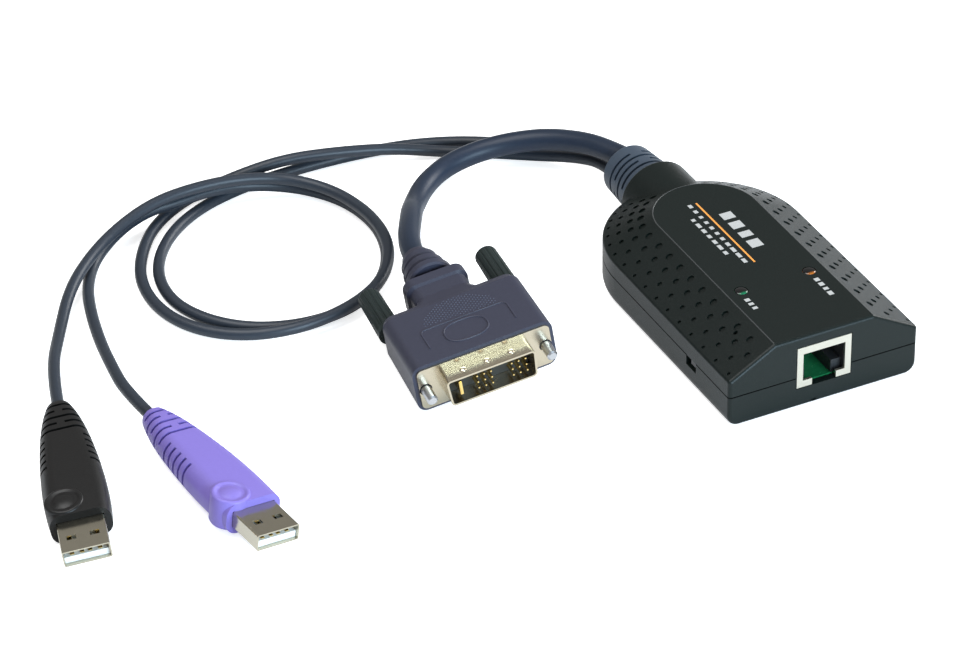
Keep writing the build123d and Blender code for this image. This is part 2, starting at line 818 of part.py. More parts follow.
def usb_rib_slots():
    """rings between the ribs: crossed ones near the cable, side ones further on"""
    half = usb_grip_length
    with BuildPart() as slots:
        for index in range(usb_ribs):
            start = usb_rib_first + index * usb_rib_pitch
            add(block(-half, half, start, start + usb_rib_width, -half, half))
            reach = 1.0
            if index % 2:
                add(block(-reach, reach, start, start + usb_rib_width, -half, half), mode=Mode.SUBTRACT)
            else:
                add(block(-half, half, start, start + usb_rib_width, -reach, reach), mode=Mode.SUBTRACT)
        for index in range(usb_side_ribs):
            start = usb_side_rib_first + index * usb_rib_pitch
            width = 12.6 + 0.3 * index
            inner = width / 2 - usb_side_rib_reach + 1
            add(block(-half, -inner, start, start + usb_rib_width, -half, half))
            add(block(inner, half, start, start + usb_rib_width, -half, half))
        add(usb_grip_form(usb_rib_depth), mode=Mode.SUBTRACT)
    return slots.part


def usb_grip():
    """overmoulded grip with ribs, a ring-shaped recess and the bore for the shell"""
    top = usb_grip_sections[-2][2] / 2
    shell_half = usb_shell_width / 2 + usb_fit
    shell_up = usb_shell_height / 2 + usb_fit
    with BuildPart() as grip:
        add(usb_grip_form(0))
        add(usb_rib_slots(), mode=Mode.SUBTRACT)
        with BuildSketch(Plane.XY.offset(top - usb_ring_depth)):
            with Locations((0, usb_ring_at)):
                Circle(usb_ring_diameter / 2)
                Circle(usb_ring_diameter / 2 - usb_ring_width, mode=Mode.SUBTRACT)
        extrude(amount=1, mode=Mode.SUBTRACT)
        add(
            block(-shell_half, shell_half, usb_grip_length - usb_shell_in_grip - usb_fit,
                  usb_grip_length + 1, -shell_up, shell_up),
            mode=Mode.SUBTRACT,
        )
    return grip.part


def usb_shell():
    """folded sheet shell with two windows in each broad face"""
    half = usb_shell_width / 2
    up = usb_shell_height / 2
    back = usb_grip_length - usb_shell_in_grip
    front = usb_grip_length + usb_shell_length
    window_y = front - usb_window_inset
    with BuildPart() as shell:
        add(block(-half, half, back, front, -up, up))
        fillet(shell.edges().filter_by(Axis.Y), 0.5)
        add(
            block(-half + usb_shell_sheet, half - usb_shell_sheet, back - 1, front + 1,
                  -up + usb_shell_sheet, up - usb_shell_sheet),
            mode=Mode.SUBTRACT,
        )
        with BuildSketch(Plane.XY.offset(-up - 1)):
            with Locations((-usb_window_across, window_y), (usb_window_across, window_y)):
                Rectangle(usb_window_width, usb_window_length)
        extrude(amount=2 * up + 2, mode=Mode.SUBTRACT)
    return shell.part


def usb_tongue():
    """insulating tongue on the lower side of the shell"""
    half = usb_shell_width / 2 - usb_shell_sheet - usb_fit
    low = -usb_shell_height / 2 + usb_shell_sheet + usb_fit
    back = usb_grip_length - usb_shell_in_grip
    front = usb_grip_length + usb_shell_length - usb_tongue_inset
    up = usb_shell_height / 2 - usb_shell_sheet - usb_fit
    with BuildPart() as tongue:
        add(block(-half, half, back, front, low, low + usb_tongue_height))
        add(block(-half, half, back, usb_grip_length - 1, low, up))
    return tongue.part


def usb_contacts():
    """four flat contacts on the tongue"""
    top = -usb_shell_height / 2 + usb_shell_sheet + usb_fit + usb_tongue_height
    end = usb_grip_length + usb_shell_length - usb_tongue_inset - 0.6
    with BuildPart() as contacts:
        for side in (-1, 1):
            for across in usb_contact_across:
                x = side * across
                add(
                    block(x - usb_contact_width / 2, x + usb_contact_width / 2,
                          end - usb_contact_length, end, top, top + usb_contact_height)
                )
    return contacts.part


# The two computer plugs, alike but for colour
usb_pieces = {
    "grip": usb_grip(), "shell": usb_shell(), "tongue": usb_tongue(), "contacts": usb_contacts(),
}
for plug_name, at, turn in (
    ("black", black_plug_at, black_plug_turn),
    ("purple", purple_plug_at, purple_plug_turn),
):
    plane = plug_plane(at, turn)
    for piece_name, piece in usb_pieces.items():
        placed = plane.location * piece
        placed.label = f"{plug_name}_usb_{piece_name}"
        export_step(placed, f"parts/{placed.label}.step")


def rounded_loft(sections):
    """straight-sided loft through rounded rectangles: distance along, width, height, corner"""
    with BuildPart() as form:
        for along, width, height, corner in sections:
            with BuildSketch(across_plane(along)):
                RectangleRounded(width, height, corner)
        loft(ruled=True)
    return form.part


def dshell_sketch(inset):
    """mouth of the video plug, slightly narrower at its lower side"""
    half = dshell_width / 2
    up = dshell_height / 2
    with BuildSketch() as mouth:
        with BuildLine():
            Polyline((-half, up), (half, up), (half - dshell_taper, -up), (-half + dshell_taper, -up), close=True)
        make_face()
        fillet(mouth.vertices(), dshell_corner)
        if inset:
            offset(amount=-inset)
    return mouth.sketch


# Video plug: moulded hood with ears for the thumbscrews and a ribbed tail
hood_front = video_plug_length - flange_thickness
hood_rear = hood_front - hood_length
bar_front = neck_bar_at + neck_bar_length
rod_bore_radius = rod_diameter / 2 + rod_bore_clearance
relief_outline = [(0, 0), (0, relief_tail_radius)]
for index in reversed(range(relief_rings)):
    ring_front = neck_bar_at - relief_groove_width - index * (relief_ring_length + relief_groove_width)
    ring_rear = ring_front - relief_ring_length
    ring_radius = relief_ring_radius - index * relief_ring_drop
    relief_outline += [
        (ring_rear, relief_groove_radius), (ring_rear, ring_radius - relief_ring_round),
        (ring_rear + relief_ring_round, ring_radius), (ring_front - relief_ring_round, ring_radius),
        (ring_front, ring_radius - relief_ring_round), (ring_front, relief_groove_radius),
    ]
relief_outline += [(neck_bar_at + 1, relief_groove_radius), (neck_bar_at + 1, 0)]
with BuildPart() as video_hood:
    add(rounded_loft((
        (hood_rear, hood_width - 2 * hood_rear_inset, hood_height - 2 * hood_rear_drop, hood_corner),
        (hood_rear + hood_rear_round, hood_width - hood_rear_inset / 2, hood_height - hood_rear_drop, hood_corner),
        (hood_front, hood_width, hood_height, hood_corner),
    )))
    add(rounded_loft((
        (bar_front - 1, hood_neck_width, hood_neck_height, hood_neck_corner),
        (hood_rear - hood_neck_flare_length, hood_neck_width, hood_neck_height, hood_neck_corner),
        (hood_rear + 1, hood_neck_width + 2 * hood_neck_flare, hood_neck_height + 2 * hood_neck_rise,
         hood_neck_corner),
    )))
    add(rounded_loft((
        (neck_bar_at, neck_bar_width - 2 * neck_bar_round, neck_bar_height - 2 * neck_bar_round, neck_bar_corner),
        (neck_bar_at + neck_bar_round, neck_bar_width, neck_bar_height, neck_bar_corner),
        (bar_front - neck_bar_round, neck_bar_width, neck_bar_height, neck_bar_corner),
        (bar_front, neck_bar_width - 2 * neck_bar_round, neck_bar_height - 2 * neck_bar_round, neck_bar_corner),
    )))
    with BuildSketch(Plane.XY):
        with BuildLine():
            Polyline(*[(radius, along) for along, radius in relief_outline], close=True)
        make_face()
    revolve(axis=Axis.Y)
    for side in (-1, 1):
        add(
            round_bar(rod_bore_radius, hood_rear - 1, hood_front + 1, 0, side * screw_spacing / 2),
            mode=Mode.SUBTRACT,
        )
    with BuildSketch(across_plane(hood_front + 1)):
        add(dshell_sketch(dshell_sheet))
    extrude(amount=1 + pin_root, mode=Mode.SUBTRACT)

# Video plug: flange plate and mouth, drawn from one sheet
with BuildPart() as video_shell:
    with BuildSketch(across_plane(video_plug_length)):
        RectangleRounded(flange_width, flange_height, flange_corner)
        with GridLocations(screw_spacing, 0, 2, 1):
            Circle(rod_diameter / 2 + 0.3, mode=Mode.SUBTRACT)
    extrude(amount=flange_thickness)
    with BuildSketch(across_plane(video_plug_length + dshell_length)):
        add(dshell_sketch(0))
    extrude(amount=dshell_length)
    with BuildSketch(across_plane(video_plug_length + dshell_length + 1)):
        add(dshell_sketch(dshell_sheet))
    extrude(amount=dshell_length + flange_thickness + 2, mode=Mode.SUBTRACT)
    dimple_y = video_plug_length + dshell_length / 2
    for up in (dshell_height / 2 - dimple_depth, -dshell_height / 2 - 1 + dimple_depth):
        with BuildSketch(Plane.XY.offset(up)):
            with Locations((0, dimple_y)):
                with GridLocations(dimple_pitch, 0, dimple_count, 1):
                    Circle(dimple_diameter / 2)
        extrude(amount=1, mode=Mode.SUBTRACT)

# Video plug: insulator that carries the pins
insert_rear = hood_front - pin_root + usb_fit
insert_face = video_plug_length
with BuildPart() as video_insert:
    with BuildSketch(across_plane(insert_face)):
        add(dshell_sketch(dshell_sheet + usb_fit))
        for edge, step in ((pin_left_edge, 1), (pin_right_edge, -1)):
            for column in range(pin_columns):
                with GridLocations(0, pin_pitch, 1, pin_rows):
                    with Locations((edge + step * column * pin_pitch, 0)):
                        Circle(pin_diameter / 2, mode=Mode.SUBTRACT)
        with Locations((blade_x, 0)):
            Rectangle(blade_thickness, blade_width, mode=Mode.SUBTRACT)
    extrude(amount=insert_face - insert_rear)

# Video plug: two groups of nine pins
with BuildPart() as video_pins:
    with BuildSketch(across_plane(insert_face + pin_length)):
        for edge, step in ((pin_left_edge, 1), (pin_right_edge, -1)):
            for column in range(pin_columns):
                with GridLocations(0, pin_pitch, 1, pin_rows):
                    with Locations((edge + step * column * pin_pitch, 0)):
                        Circle(pin_diameter / 2)
    extrude(amount=insert_face + pin_length - insert_rear)

# Video plug: flat ground blade beside the pins
with BuildPart() as video_blade:
    with BuildSketch(across_plane(insert_face + pin_length)):
        with Locations((blade_x, 0)):
            Rectangle(blade_thickness, blade_width)
    extrude(amount=insert_face + pin_length - insert_rear)


def thumb_grip(side):
    """fluted grip, moulded on the end of the rod behind the ear"""
    x = side * screw_spacing / 2
    front = hood_rear - thumb_gap
    rear = front - thumb_length
    with BuildPart() as grip:
        with BuildSketch(across_plane(rear)):
            with Locations((x, 0)):
                Circle(thumb_rear_radius)
        with BuildSketch(across_plane(front)):
            with Locations((x, 0)):
                Circle(thumb_radius)
        loft()
        fillet(grip.faces().sort_by(Axis.Y)[0].edges(), 0.6)
        with BuildSketch(across_plane(front - 1.5)):
            with Locations((x, 0)):
                with PolarLocations(thumb_radius, thumb_flutes):
                    Circle(thumb_flute_radius)
        extrude(amount=thumb_length, mode=Mode.SUBTRACT)
        add(round_bar(rod_diameter / 2, front - thumb_socket_depth, front + 1, 0, x), mode=Mode.SUBTRACT)
    return grip.part


def thumb_rod(side):
    """steel rod through the ear, threaded at its tip"""
    x = side * screw_spacing / 2
    start = hood_rear - thumb_gap - thumb_socket_depth
    with BuildPart() as rod:
        add(round_bar(rod_diameter / 2, start, video_plug_length + rod_reach, 0, x))
        chamfer(rod.faces().sort_by(Axis.Y)[-1].edges(), rod_tip_chamfer)
    return rod.part


video_plane = plug_plane(video_plug_at, video_plug_turn)
for piece_name, piece in (
    ("video_hood", video_hood.part), ("video_shell", video_shell.part),
    ("video_insert", video_insert.part), ("video_pins", video_pins.part), ("video_blade", video_blade.part),
    ("left_thumb_grip", thumb_grip(1)), ("left_thumb_rod", thumb_rod(1)),
    ("right_thumb_grip", thumb_grip(-1)), ("right_thumb_rod", thumb_rod(-1)),
):
    placed = video_plane.location * piece
    placed.label = piece_name
    export_step(placed, f"parts/{piece_name}.step")
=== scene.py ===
import math

import bmesh
import bpy
from mathutils import Matrix, Vector


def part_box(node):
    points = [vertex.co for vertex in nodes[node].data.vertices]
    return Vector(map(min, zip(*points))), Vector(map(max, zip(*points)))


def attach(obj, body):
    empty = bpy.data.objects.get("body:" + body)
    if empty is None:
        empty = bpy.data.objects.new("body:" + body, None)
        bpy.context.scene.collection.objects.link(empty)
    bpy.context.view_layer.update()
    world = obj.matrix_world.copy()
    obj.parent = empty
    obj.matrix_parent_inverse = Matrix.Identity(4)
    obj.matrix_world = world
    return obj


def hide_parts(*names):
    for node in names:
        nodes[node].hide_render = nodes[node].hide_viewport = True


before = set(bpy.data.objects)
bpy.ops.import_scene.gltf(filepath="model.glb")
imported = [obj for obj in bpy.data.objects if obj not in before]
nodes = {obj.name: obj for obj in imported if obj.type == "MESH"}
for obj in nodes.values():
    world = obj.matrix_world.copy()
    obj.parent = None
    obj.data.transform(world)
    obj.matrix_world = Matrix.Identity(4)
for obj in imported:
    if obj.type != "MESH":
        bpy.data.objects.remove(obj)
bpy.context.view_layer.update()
MM = 0.001

# The photographed view. The dongle lies on a pale sheet and is seen from its front left,
# from about a metre away and a third of the way up, through a long lens.
azimuth = math.radians(-25.89)
elevation = math.radians(34.39)
camera_roll = math.radians(-0.9)
camera_distance = 1147.17 * MM
aim_right, aim_up = 87.39 * MM, -16.19 * MM
front_face_y = -45.4 * MM
back = Vector((
    math.sin(azimuth) * math.cos(elevation),
    -math.cos(azimuth) * math.cos(elevation),
    math.sin(elevation),
))
level_right = Vector((0, 0, 1)).cross(back).normalized()
level_up = back.cross(level_right)
camera_right = math.cos(camera_roll) * level_right + math.sin(camera_roll) * level_up
camera_up = math.cos(camera_roll) * level_up - math.sin(camera_roll) * level_right
camera_place = camera_distance * back - aim_right * camera_right - aim_up * camera_up
camera_place.y += front_face_y
camera_data = bpy.data.cameras.new("camera")
camera_data.sensor_width = 36
camera_data.lens = 168.75
camera = bpy.data.objects.new("camera", camera_data)
bpy.context.scene.collection.objects.link(camera)
camera.matrix_world = Matrix((
    (camera_right.x, camera_up.x, back.x, camera_place.x),
    (camera_right.y, camera_up.y, back.y, camera_place.y),
    (camera_right.z, camera_up.z, back.z, camera_place.z),
    (0, 0, 0, 1),
))
bpy.context.scene.camera = camera
bpy.context.scene.view_settings.view_transform = "Standard"


# The sheet that the dongle lies on: smooth white card, far larger than the view, in a pale
# world, with soft lamps above it and on its right and a stronger, cooler one in front.
def node_tree(name):
    """new material, with its node tree and its shader"""
    material = bpy.data.materials.new(name)
    material.use_nodes = True
    tree = material.node_tree
    shader = tree.nodes["Principled BSDF"]
    return material, tree, shader


def link_all(tree, rows):
    """joins outputs to inputs, each row giving node, output, node and input"""
    for giver, output, taker, entry in rows:
        tree.links.new(giver.outputs[output], taker.inputs[entry])


sheet_half = 3.0
floor_mesh = bpy.data.meshes.new("floor")
floor_mesh.from_pydata(
    [(-sheet_half, -sheet_half, 0), (sheet_half, -sheet_half, 0),
     (sheet_half, sheet_half, 0), (-sheet_half, sheet_half, 0)],
    [], [(0, 1, 2, 3)],
)
floor = bpy.data.objects.new("floor", floor_mesh)
bpy.context.scene.collection.objects.link(floor)
floor.location.z = -0.05 * MM
card, card_tree, card_shader = node_tree("white_card")
card_shader.inputs["Base Color"].default_value = (0.86, 0.86, 0.86, 1)
card_shader.inputs["Roughness"].default_value = 0.9
card_shader.inputs["Specular IOR Level"].default_value = 0.1
card_output = card_tree.nodes["Material Output"]
card_glow = card_tree.nodes.new("ShaderNodeEmission")
card_glow.inputs["Color"].default_value = (1, 1, 1, 1)
card_glow.inputs["Strength"].default_value = 0.7
card_sum = card_tree.nodes.new("ShaderNodeAddShader")
card_path = card_tree.nodes.new("ShaderNodeLightPath")
card_mix = card_tree.nodes.new("ShaderNodeMixShader")
link_all(card_tree, (
    (card_shader, 0, card_sum, 0),
    (card_glow, 0, card_sum, 1),
    (card_path, "Is Camera Ray", card_mix, 0),
    (card_shader, 0, card_mix, 1),
    (card_sum, 0, card_mix, 2),
    (card_mix, 0, card_output, "Surface"),
))
floor_mesh.materials.append(card)

world_level, world_in_gloss = 0.26, 0.1
world = bpy.data.worlds.new("studio")
bpy.context.scene.world = world
world.use_nodes = True
world_background = world.node_tree.nodes["Background"]
world_path = world.node_tree.nodes.new("ShaderNodeLightPath")
world_glossy = world.node_tree.nodes.new("ShaderNodeMath")
world_glossy.operation = "MULTIPLY_ADD"
world_glossy.inputs[1].default_value = world_in_gloss
world_glossy.inputs[2].default_value = world_level
world_eye = world.node_tree.nodes.new("ShaderNodeMath")
world_eye.operation = "MAXIMUM"
link_all(world.node_tree, (
    (world_path, "Is Glossy Ray", world_glossy, 0),
    (world_path, "Is Camera Ray", world_eye, 0),
    (world_glossy, 0, world_eye, 1),
    (world_eye, 0, world_background, "Strength"),
))
world_background.inputs["Color"].default_value = (1, 1, 1, 1)


def soft_lamp(name, place, aim, size, watts, colour):
    """square lamp turned towards a point"""
    lamp_data = bpy.data.lights.new(name, "AREA")
    lamp_data.size = size
    lamp_data.energy = watts
    lamp_data.color = colour
    lamp = bpy.data.objects.new(name, lamp_data)
    bpy.context.scene.collection.objects.link(lamp)
    lamp.location = place
    lamp.rotation_mode = "QUATERNION"
    lamp.rotation_quaternion = (Vector(aim) - Vector(place)).to_track_quat("-Z", "Y")


lit_middle = (-0.06, 0.03, 0.0)
soft_lamp("top_lamp", (-0.3, 0.1, 0.95), lit_middle, 0.7, 9, (1.0, 1.0, 1.0))
soft_lamp("right_lamp", (0.95, 0.2, 0.5), lit_middle, 0.6, 9, (1.0, 1.0, 1.0))
soft_lamp("front_lamp", (0.1, -0.95, 0.3), lit_middle, 0.6, 18, (0.62, 0.83, 1.0))


# Three captive cables: round, soft jackets over screened wires, a thick one to the video
# plug and two thin ones to the computer plugs, all moulded into the strain relief.
gloss_spread = 0.06


def grain(tree, shader, scale, depth, detail=2.0, stretch=(1, 1, 1)):
    """fine moulded texture: noise in the piece's own coordinates, as bump and uneven gloss"""
    place = tree.nodes.new("ShaderNodeTexCoord")
    mapping = tree.nodes.new("ShaderNodeMapping")
    noise = tree.nodes.new("ShaderNodeTexNoise")
    bump = tree.nodes.new("ShaderNodeBump")
    mapping.inputs["Scale"].default_value = stretch
    noise.inputs["Scale"].default_value = scale
    noise.inputs["Detail"].default_value = detail
    bump.inputs["Distance"].default_value = depth
    link_all(tree, (
        (place, "Object", mapping, "Vector"),
        (mapping, 0, noise, "Vector"),
        (noise, "Fac", bump, "Height"),
        (bump, 0, shader, "Normal"),
    ))
    return noise


def moulded(name, colour, roughness, scale=2600, depth=0.02 * MM, vary=0.12, specular=0.5):
    """moulded plastic or rubber: a slightly mottled colour, satin gloss and a fine grain"""
    material, tree, shader = node_tree(name)
    noise = grain(tree, shader, scale, depth)
    shade = tree.nodes.new("ShaderNodeMixRGB")
    shade.inputs[1].default_value = (*[c * (1 - vary) for c in colour], 1)
    shade.inputs[2].default_value = (*[min(1, c * (1 + vary)) for c in colour], 1)
    gloss = tree.nodes.new("ShaderNodeMapRange")
    gloss.inputs["To Min"].default_value = roughness - gloss_spread
    gloss.inputs["To Max"].default_value = roughness + gloss_spread
    link_all(tree, (
        (noise, "Fac", shade, 0),
        (shade, 0, shader, "Base Color"),
        (noise, "Fac", gloss, "Value"),
        (gloss, 0, shader, "Roughness"),
    ))
    shader.inputs["Specular IOR Level"].default_value = specular
    return material


cable_jacket = moulded("cable_jacket", (0.02, 0.026, 0.036), 0.4, 1500, 0.01 * MM, 0.15, 0.35)
video_jacket = moulded("video_jacket", (0.013, 0.021, 0.038), 0.42, 1500, 0.01 * MM, 0.15, 0.28)
video_route = [
    (0.0, 61.3, 13.0), (-2.6, 69.2, 12.7), (-5.9, 77.3, 11.4), (-13.1, 86.5, 9.4),
    (-25.2, 92.9, 6.8), (-38.0, 93.4, 4.8), (-48.1, 88.4, 3.6), (-56.6, 77.8, 4.6),
    (-61.4, 68.5, 9.7), (-71.0, 50.74, 12.58), (-71.58, 44.34, 12.3),
]
black_route = [
    (-1.9, 61.3, 7.0), (-1.9, 70.3, 7.0), (-5.5, 80.0, 4.8), (-12.8, 89.3, 2.2),
    (-22.5, 97.0, 1.6), (-34.5, 104.0, 1.6), (-48.0, 109.0, 3.8), (-63.0, 111.5, 5.6),
    (-78.0, 115.0, 5.6), (-92.0, 117.3, 2.8), (-107.0, 115.0, 1.6), (-120.0, 107.0, 1.6),
    (-128.5, 96.0, 1.6), (-134.0, 84.5, 1.6), (-135.5, 72.0, 1.6), (-133.0, 60.5, 1.6),
    (-126.5, 51.0, 1.8), (-117.0, 44.0, 2.6), (-104.5, 40.8, 3.6), (-91.0, 42.6, 4.4),
    (-79.0, 49.6, 4.6), (-71.5, 60.5, 5.0), (-68.6, 72.5, 5.1), (-69.2, 84.5, 5.1),
    (-73.2, 96.5, 5.3), (-82.5, 105.0, 6.6), (-95.3, 107.6, 8.5), (-108.2, 108.0, 9.0),
    (-120.3, 106.3, 9.0), (-132.0, 102.3, 7.2), (-143.5, 95.0, 5.5), (-154.3, 83.5, 4.7),
    (-163.5, 68.0, 3.2), (-173.18, 48.76, 6.45), (-177.8, 32.1, 6.0),
]
purple_route = [
    (1.9, 61.3, 7.0), (1.9, 70.5, 7.0), (-2.5, 82.5, 4.2), (-12.0, 96.0, 1.6),
    (-25.5, 105.5, 1.6), (-38.5, 111.0, 1.6), (-51.0, 113.5, 1.6), (-64.0, 114.5, 1.6),
    (-77.5, 114.5, 1.6), (-92.0, 113.0, 1.6), (-107.0, 108.5, 1.6), (-119.5, 99.5, 1.6),
    (-128.5, 86.5, 1.6), (-131.0, 72.0, 1.6), (-127.0, 59.5, 1.6), (-118.5, 50.0, 1.6),
    (-107.0, 45.0, 1.6), (-95.0, 44.5, 1.6), (-84.0, 48.5, 1.6), (-75.0, 56.5, 1.6),
    (-69.0, 68.0, 1.6), (-67.0, 81.0, 1.6), (-69.6, 94.3, 1.6), (-77.5, 105.3, 1.8),
    (-89.5, 110.0, 3.6), (-102.0, 109.8, 5.6), (-112.5, 108.5, 5.6), (-122.0, 108.0, 5.6),
    (-132.0, 105.0, 3.6), (-141.5, 98.0, 1.6), (-148.0, 87.0, 1.6), (-151.9, 74.5, 1.6),
    (-155.0, 60.5, 2.2), (-157.6, 46.5, 4.4), (-159.55, 32.47, 5.84), (-157.7, 18.6, 5.6),
]


def cable(name, route, diameter, jacket, node):
    """smooth round cable along its route, with its plug as the CAD has it"""
    curve = bpy.data.curves.new(name, "CURVE")
    curve.dimensions = "3D"
    curve.bevel_depth = diameter / 2
    curve.bevel_resolution = 6
    curve.resolution_u = 8
    curve.use_fill_caps = True
    spline = curve.splines.new("NURBS")
    spline.points.add(len(route) - 1)
    for point, place in zip(spline.points, route):
        point.co = (*[value * MM for value in place], 1)
    spline.order_u = 3
    spline.use_endpoint_u = True
    piece = bpy.data.objects.new(name, curve)
    bpy.context.scene.collection.objects.link(piece)
    curve.materials.append(jacket)
    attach(piece, "dongle")
    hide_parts(node)


cable("lead_video", video_route, 6.0 * MM, video_jacket, "video_cable")
cable("lead_black", black_route, 3.2 * MM, cable_jacket, "black_usb_cable")
cable("lead_purple", purple_route, 3.2 * MM, cable_jacket, "purple_usb_cable")


# The housing: two thin moulded covers in charcoal plastic with a finely sparked surface,
# held together by four screws from below.
def dress(material, *names):
    """gives CAD nodes that keep their own shape a finish"""
    for name in names:
        mesh = nodes[name].data
        mesh.materials.clear()
        mesh.materials.append(material)


housing_plastic = moulded("housing_plastic", (0.005, 0.0082, 0.0072), 0.36, 5200, 0.03 * MM, 0.3, 0.2)
dress(housing_plastic, "top_cover", "bottom_cover")


# The line between the two covers: a narrow dark strip all round, painted shadow of the gap
# where the covers meet, at their height, broken by the socket and by the slot of the switch.
def new_piece(name, mesh, material, body):
    """object at the origin for a finished mesh, riding on its body"""
    piece = bpy.data.objects.new(name, mesh)
    bpy.context.scene.collection.objects.link(piece)
    if not mesh.materials:
        mesh.materials.append(material)
    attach(piece, body)
    return piece


wall_low, wall_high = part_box("top_cover")
half_width = wall_high.x
neck_and_round = 29.0 * MM
round_middle = wall_high.y - neck_and_round
joint_height = wall_low.z
joint_half = 0.15 * MM
joint_proud = 0.012 * MM
joint_sunk = 0.06 * MM
corner_round = 1.0 * MM
socket_half = 8.05 * MM
slot_start, slot_end = -28.1 * MM, -23.0 * MM
neck_side = 10.27 * MM
# near black with no gloss: painted shadow of the gap between the covers
joint_shadow = moulded("joint_shadow", (0.0008, 0.0008, 0.0008), 0.85, specular=0.0)


def arc_places(middle_x, middle_y, radius, from_degrees, to_degrees, steps):
    """places on an arc, each with the direction out of the wall"""
    places = []
    for step in range(steps + 1):
        turn = math.radians(from_degrees + (to_degrees - from_degrees) * step / steps)
        out_x, out_y = math.cos(turn), math.sin(turn)
        places.append((middle_x + radius * out_x, middle_y + radius * out_y, out_x, out_y))
    return places


def mirrored(places):
    """the same places on the other side"""
    return [(-x, y, -out_x, out_y) for x, y, out_x, out_y in places]


neck_turn = math.degrees(math.acos(neck_side / half_width))
left_corner = arc_places(-half_width + corner_round, wall_low.y + corner_round, corner_round, 270, 180, 8)
front_run = [(-socket_half, wall_low.y, 0, -1)] + left_corner
round_run = arc_places(0, round_middle, half_width, 180, 180 - neck_turn, 40)
neck_run = [
    (-neck_side, round_middle + half_width * math.sin(math.radians(neck_turn)), -1, 0),
    (-neck_side, wall_high.y - corner_round, -1, 0),
]
joint_runs = [
    front_run + [(-half_width, slot_start, -1, 0)],
    [(-half_width, slot_end, -1, 0)] + round_run,
    neck_run,
    mirrored(front_run + round_run),
    mirrored(neck_run),
]
joint_points, joint_faces = [], []
for run in joint_runs:
    first = len(joint_points)
    for x, y, out_x, out_y in run:
        for proud, height in (
            (-joint_sunk, -joint_half), (joint_proud, -joint_half),
            (joint_proud, joint_half), (-joint_sunk, joint_half),
        ):
            joint_points.append((x + out_x * proud, y + out_y * proud, joint_height + height))
    for step in range(len(run) - 1):
        here = first + 4 * step
        for side in range(4):
            following = (side + 1) % 4
            joint_faces.append((here + side, here + following, here + 4 + following, here + 4 + side))
    last = first + 4 * (len(run) - 1)
    joint_faces.append((first + 3, first + 2, first + 1, first))
    joint_faces.append((last, last + 1, last + 2, last + 3))
joint_mesh = bpy.data.meshes.new("cover_joint")
joint_mesh.from_pydata(joint_points, [], joint_faces)
joint_bm = bmesh.new()
joint_bm.from_mesh(joint_mesh)
bmesh.ops.recalc_face_normals(joint_bm, faces=joint_bm.faces)
joint_bm.to_mesh(joint_mesh)
joint_bm.free()
new_piece("cover_joint", joint_mesh, joint_shadow, "dongle")


# The edge of the panel: a fine rounded lip where the level panel meets the two slopes and
# the round end, painted paler than the panel as a highlight along the edge.
def ridge_mesh(name, places, radius, closed):
    """mesh of a thin rounded ridge along places"""
    curve = bpy.data.curves.new(name, "CURVE")
    curve.dimensions = "3D"
    curve.bevel_depth = radius
    curve.bevel_resolution = 2
    curve.use_fill_caps = True
    spline = curve.splines.new("POLY")
    spline.points.add(len(places) - 1)
    for point, place in zip(spline.points, places):
        point.co = (*place, 1)
    spline.use_cyclic_u = closed
    holder = bpy.data.objects.new(name, curve)
    mesh = bpy.data.meshes.new_from_object(holder)
    bpy.data.objects.remove(holder)
    mesh.polygons.foreach_set("use_smooth", [True] * len(mesh.polygons))
    return mesh


panel_half, lip_radius, lip_sunk, lip_front = 14.3 * MM, 0.16 * MM, 0.11 * MM, 0.9 * MM
# paler and glossier than the housing plastic: a painted highlight along the panel's edge
lip_highlight_plastic = moulded("lip_highlight_plastic", (0.045, 0.047, 0.047), 0.32, 5200, 0.02 * MM, 0.3, 0.5)
lip_line = [(panel_half, wall_low.y + lip_front)]
lip_line += [(x, y) for x, y, _, _ in arc_places(0, round_middle, panel_half, 0, 180, 60)]
lip_line.append((-panel_half, wall_low.y + lip_front))
lip_mesh = ridge_mesh("panel_lip", [(x, y, wall_high.z - lip_sunk) for x, y in lip_line], lip_radius, False)
new_piece("panel_lip", lip_mesh, lip_highlight_plastic, "dongle")


# The print on the panel: an orange stripe along the middle, with plain pale bars of uneven
# length on both sides of it and beside the lamps, pad printed in thin ink.
def tree_input(group, name, kind, value):
    """named input of a node group"""
    socket = group.interface.new_socket(name=name, in_out="INPUT", socket_type=kind)
    socket.default_value = value


def mesh_from_tree(group, settings):
    """plain mesh of what a node group makes with these settings"""
    holder = bpy.data.objects.new(group.name, bpy.data.meshes.new(group.name))
    bpy.context.scene.collection.objects.link(holder)
    modifier = holder.modifiers.new("tree", "NODES")
    modifier.node_group = group
    for item in group.interface.items_tree:
        if item.in_out == "INPUT" and item.name in settings:
            modifier[item.identifier] = settings[item.name]
    bpy.context.view_layer.update()
    made = bpy.data.meshes.new_from_object(holder.evaluated_get(bpy.context.evaluated_depsgraph_get()))
    holder.modifiers.remove(modifier)
    bpy.data.objects.remove(holder)
    return made


ink_white = moulded("ink_white", (0.4, 0.4, 0.39), 0.5)
ink_orange = moulded("ink_orange", (0.78, 0.3, 0.05), 0.5)
ink_depth = 0.03 * MM
marks = bpy.data.node_groups.new("printed_marks", "GeometryNodeTree")
tree_input(marks, "Count", "NodeSocketInt", 8)
tree_input(marks, "Pitch", "NodeSocketFloat", 3 * MM)
tree_input(marks, "Length", "NodeSocketFloat", 2 * MM)
tree_input(marks, "Width", "NodeSocketFloat", 1 * MM)
tree_input(marks, "Shortest", "NodeSocketFloat", 0.6)
tree_input(marks, "Seed", "NodeSocketInt", 1)
tree_input(marks, "Ink", "NodeSocketMaterial", ink_white)
marks.interface.new_socket(name="Geometry", in_out="OUTPUT", socket_type="NodeSocketGeometry")
marks_in = marks.nodes.new("NodeGroupInput")
marks_out = marks.nodes.new("NodeGroupOutput")
marks_line = marks.nodes.new("GeometryNodeMeshLine")
marks_step = marks.nodes.new("ShaderNodeCombineXYZ")
marks_size = marks.nodes.new("ShaderNodeCombineXYZ")
marks_size.inputs["Z"].default_value = ink_depth
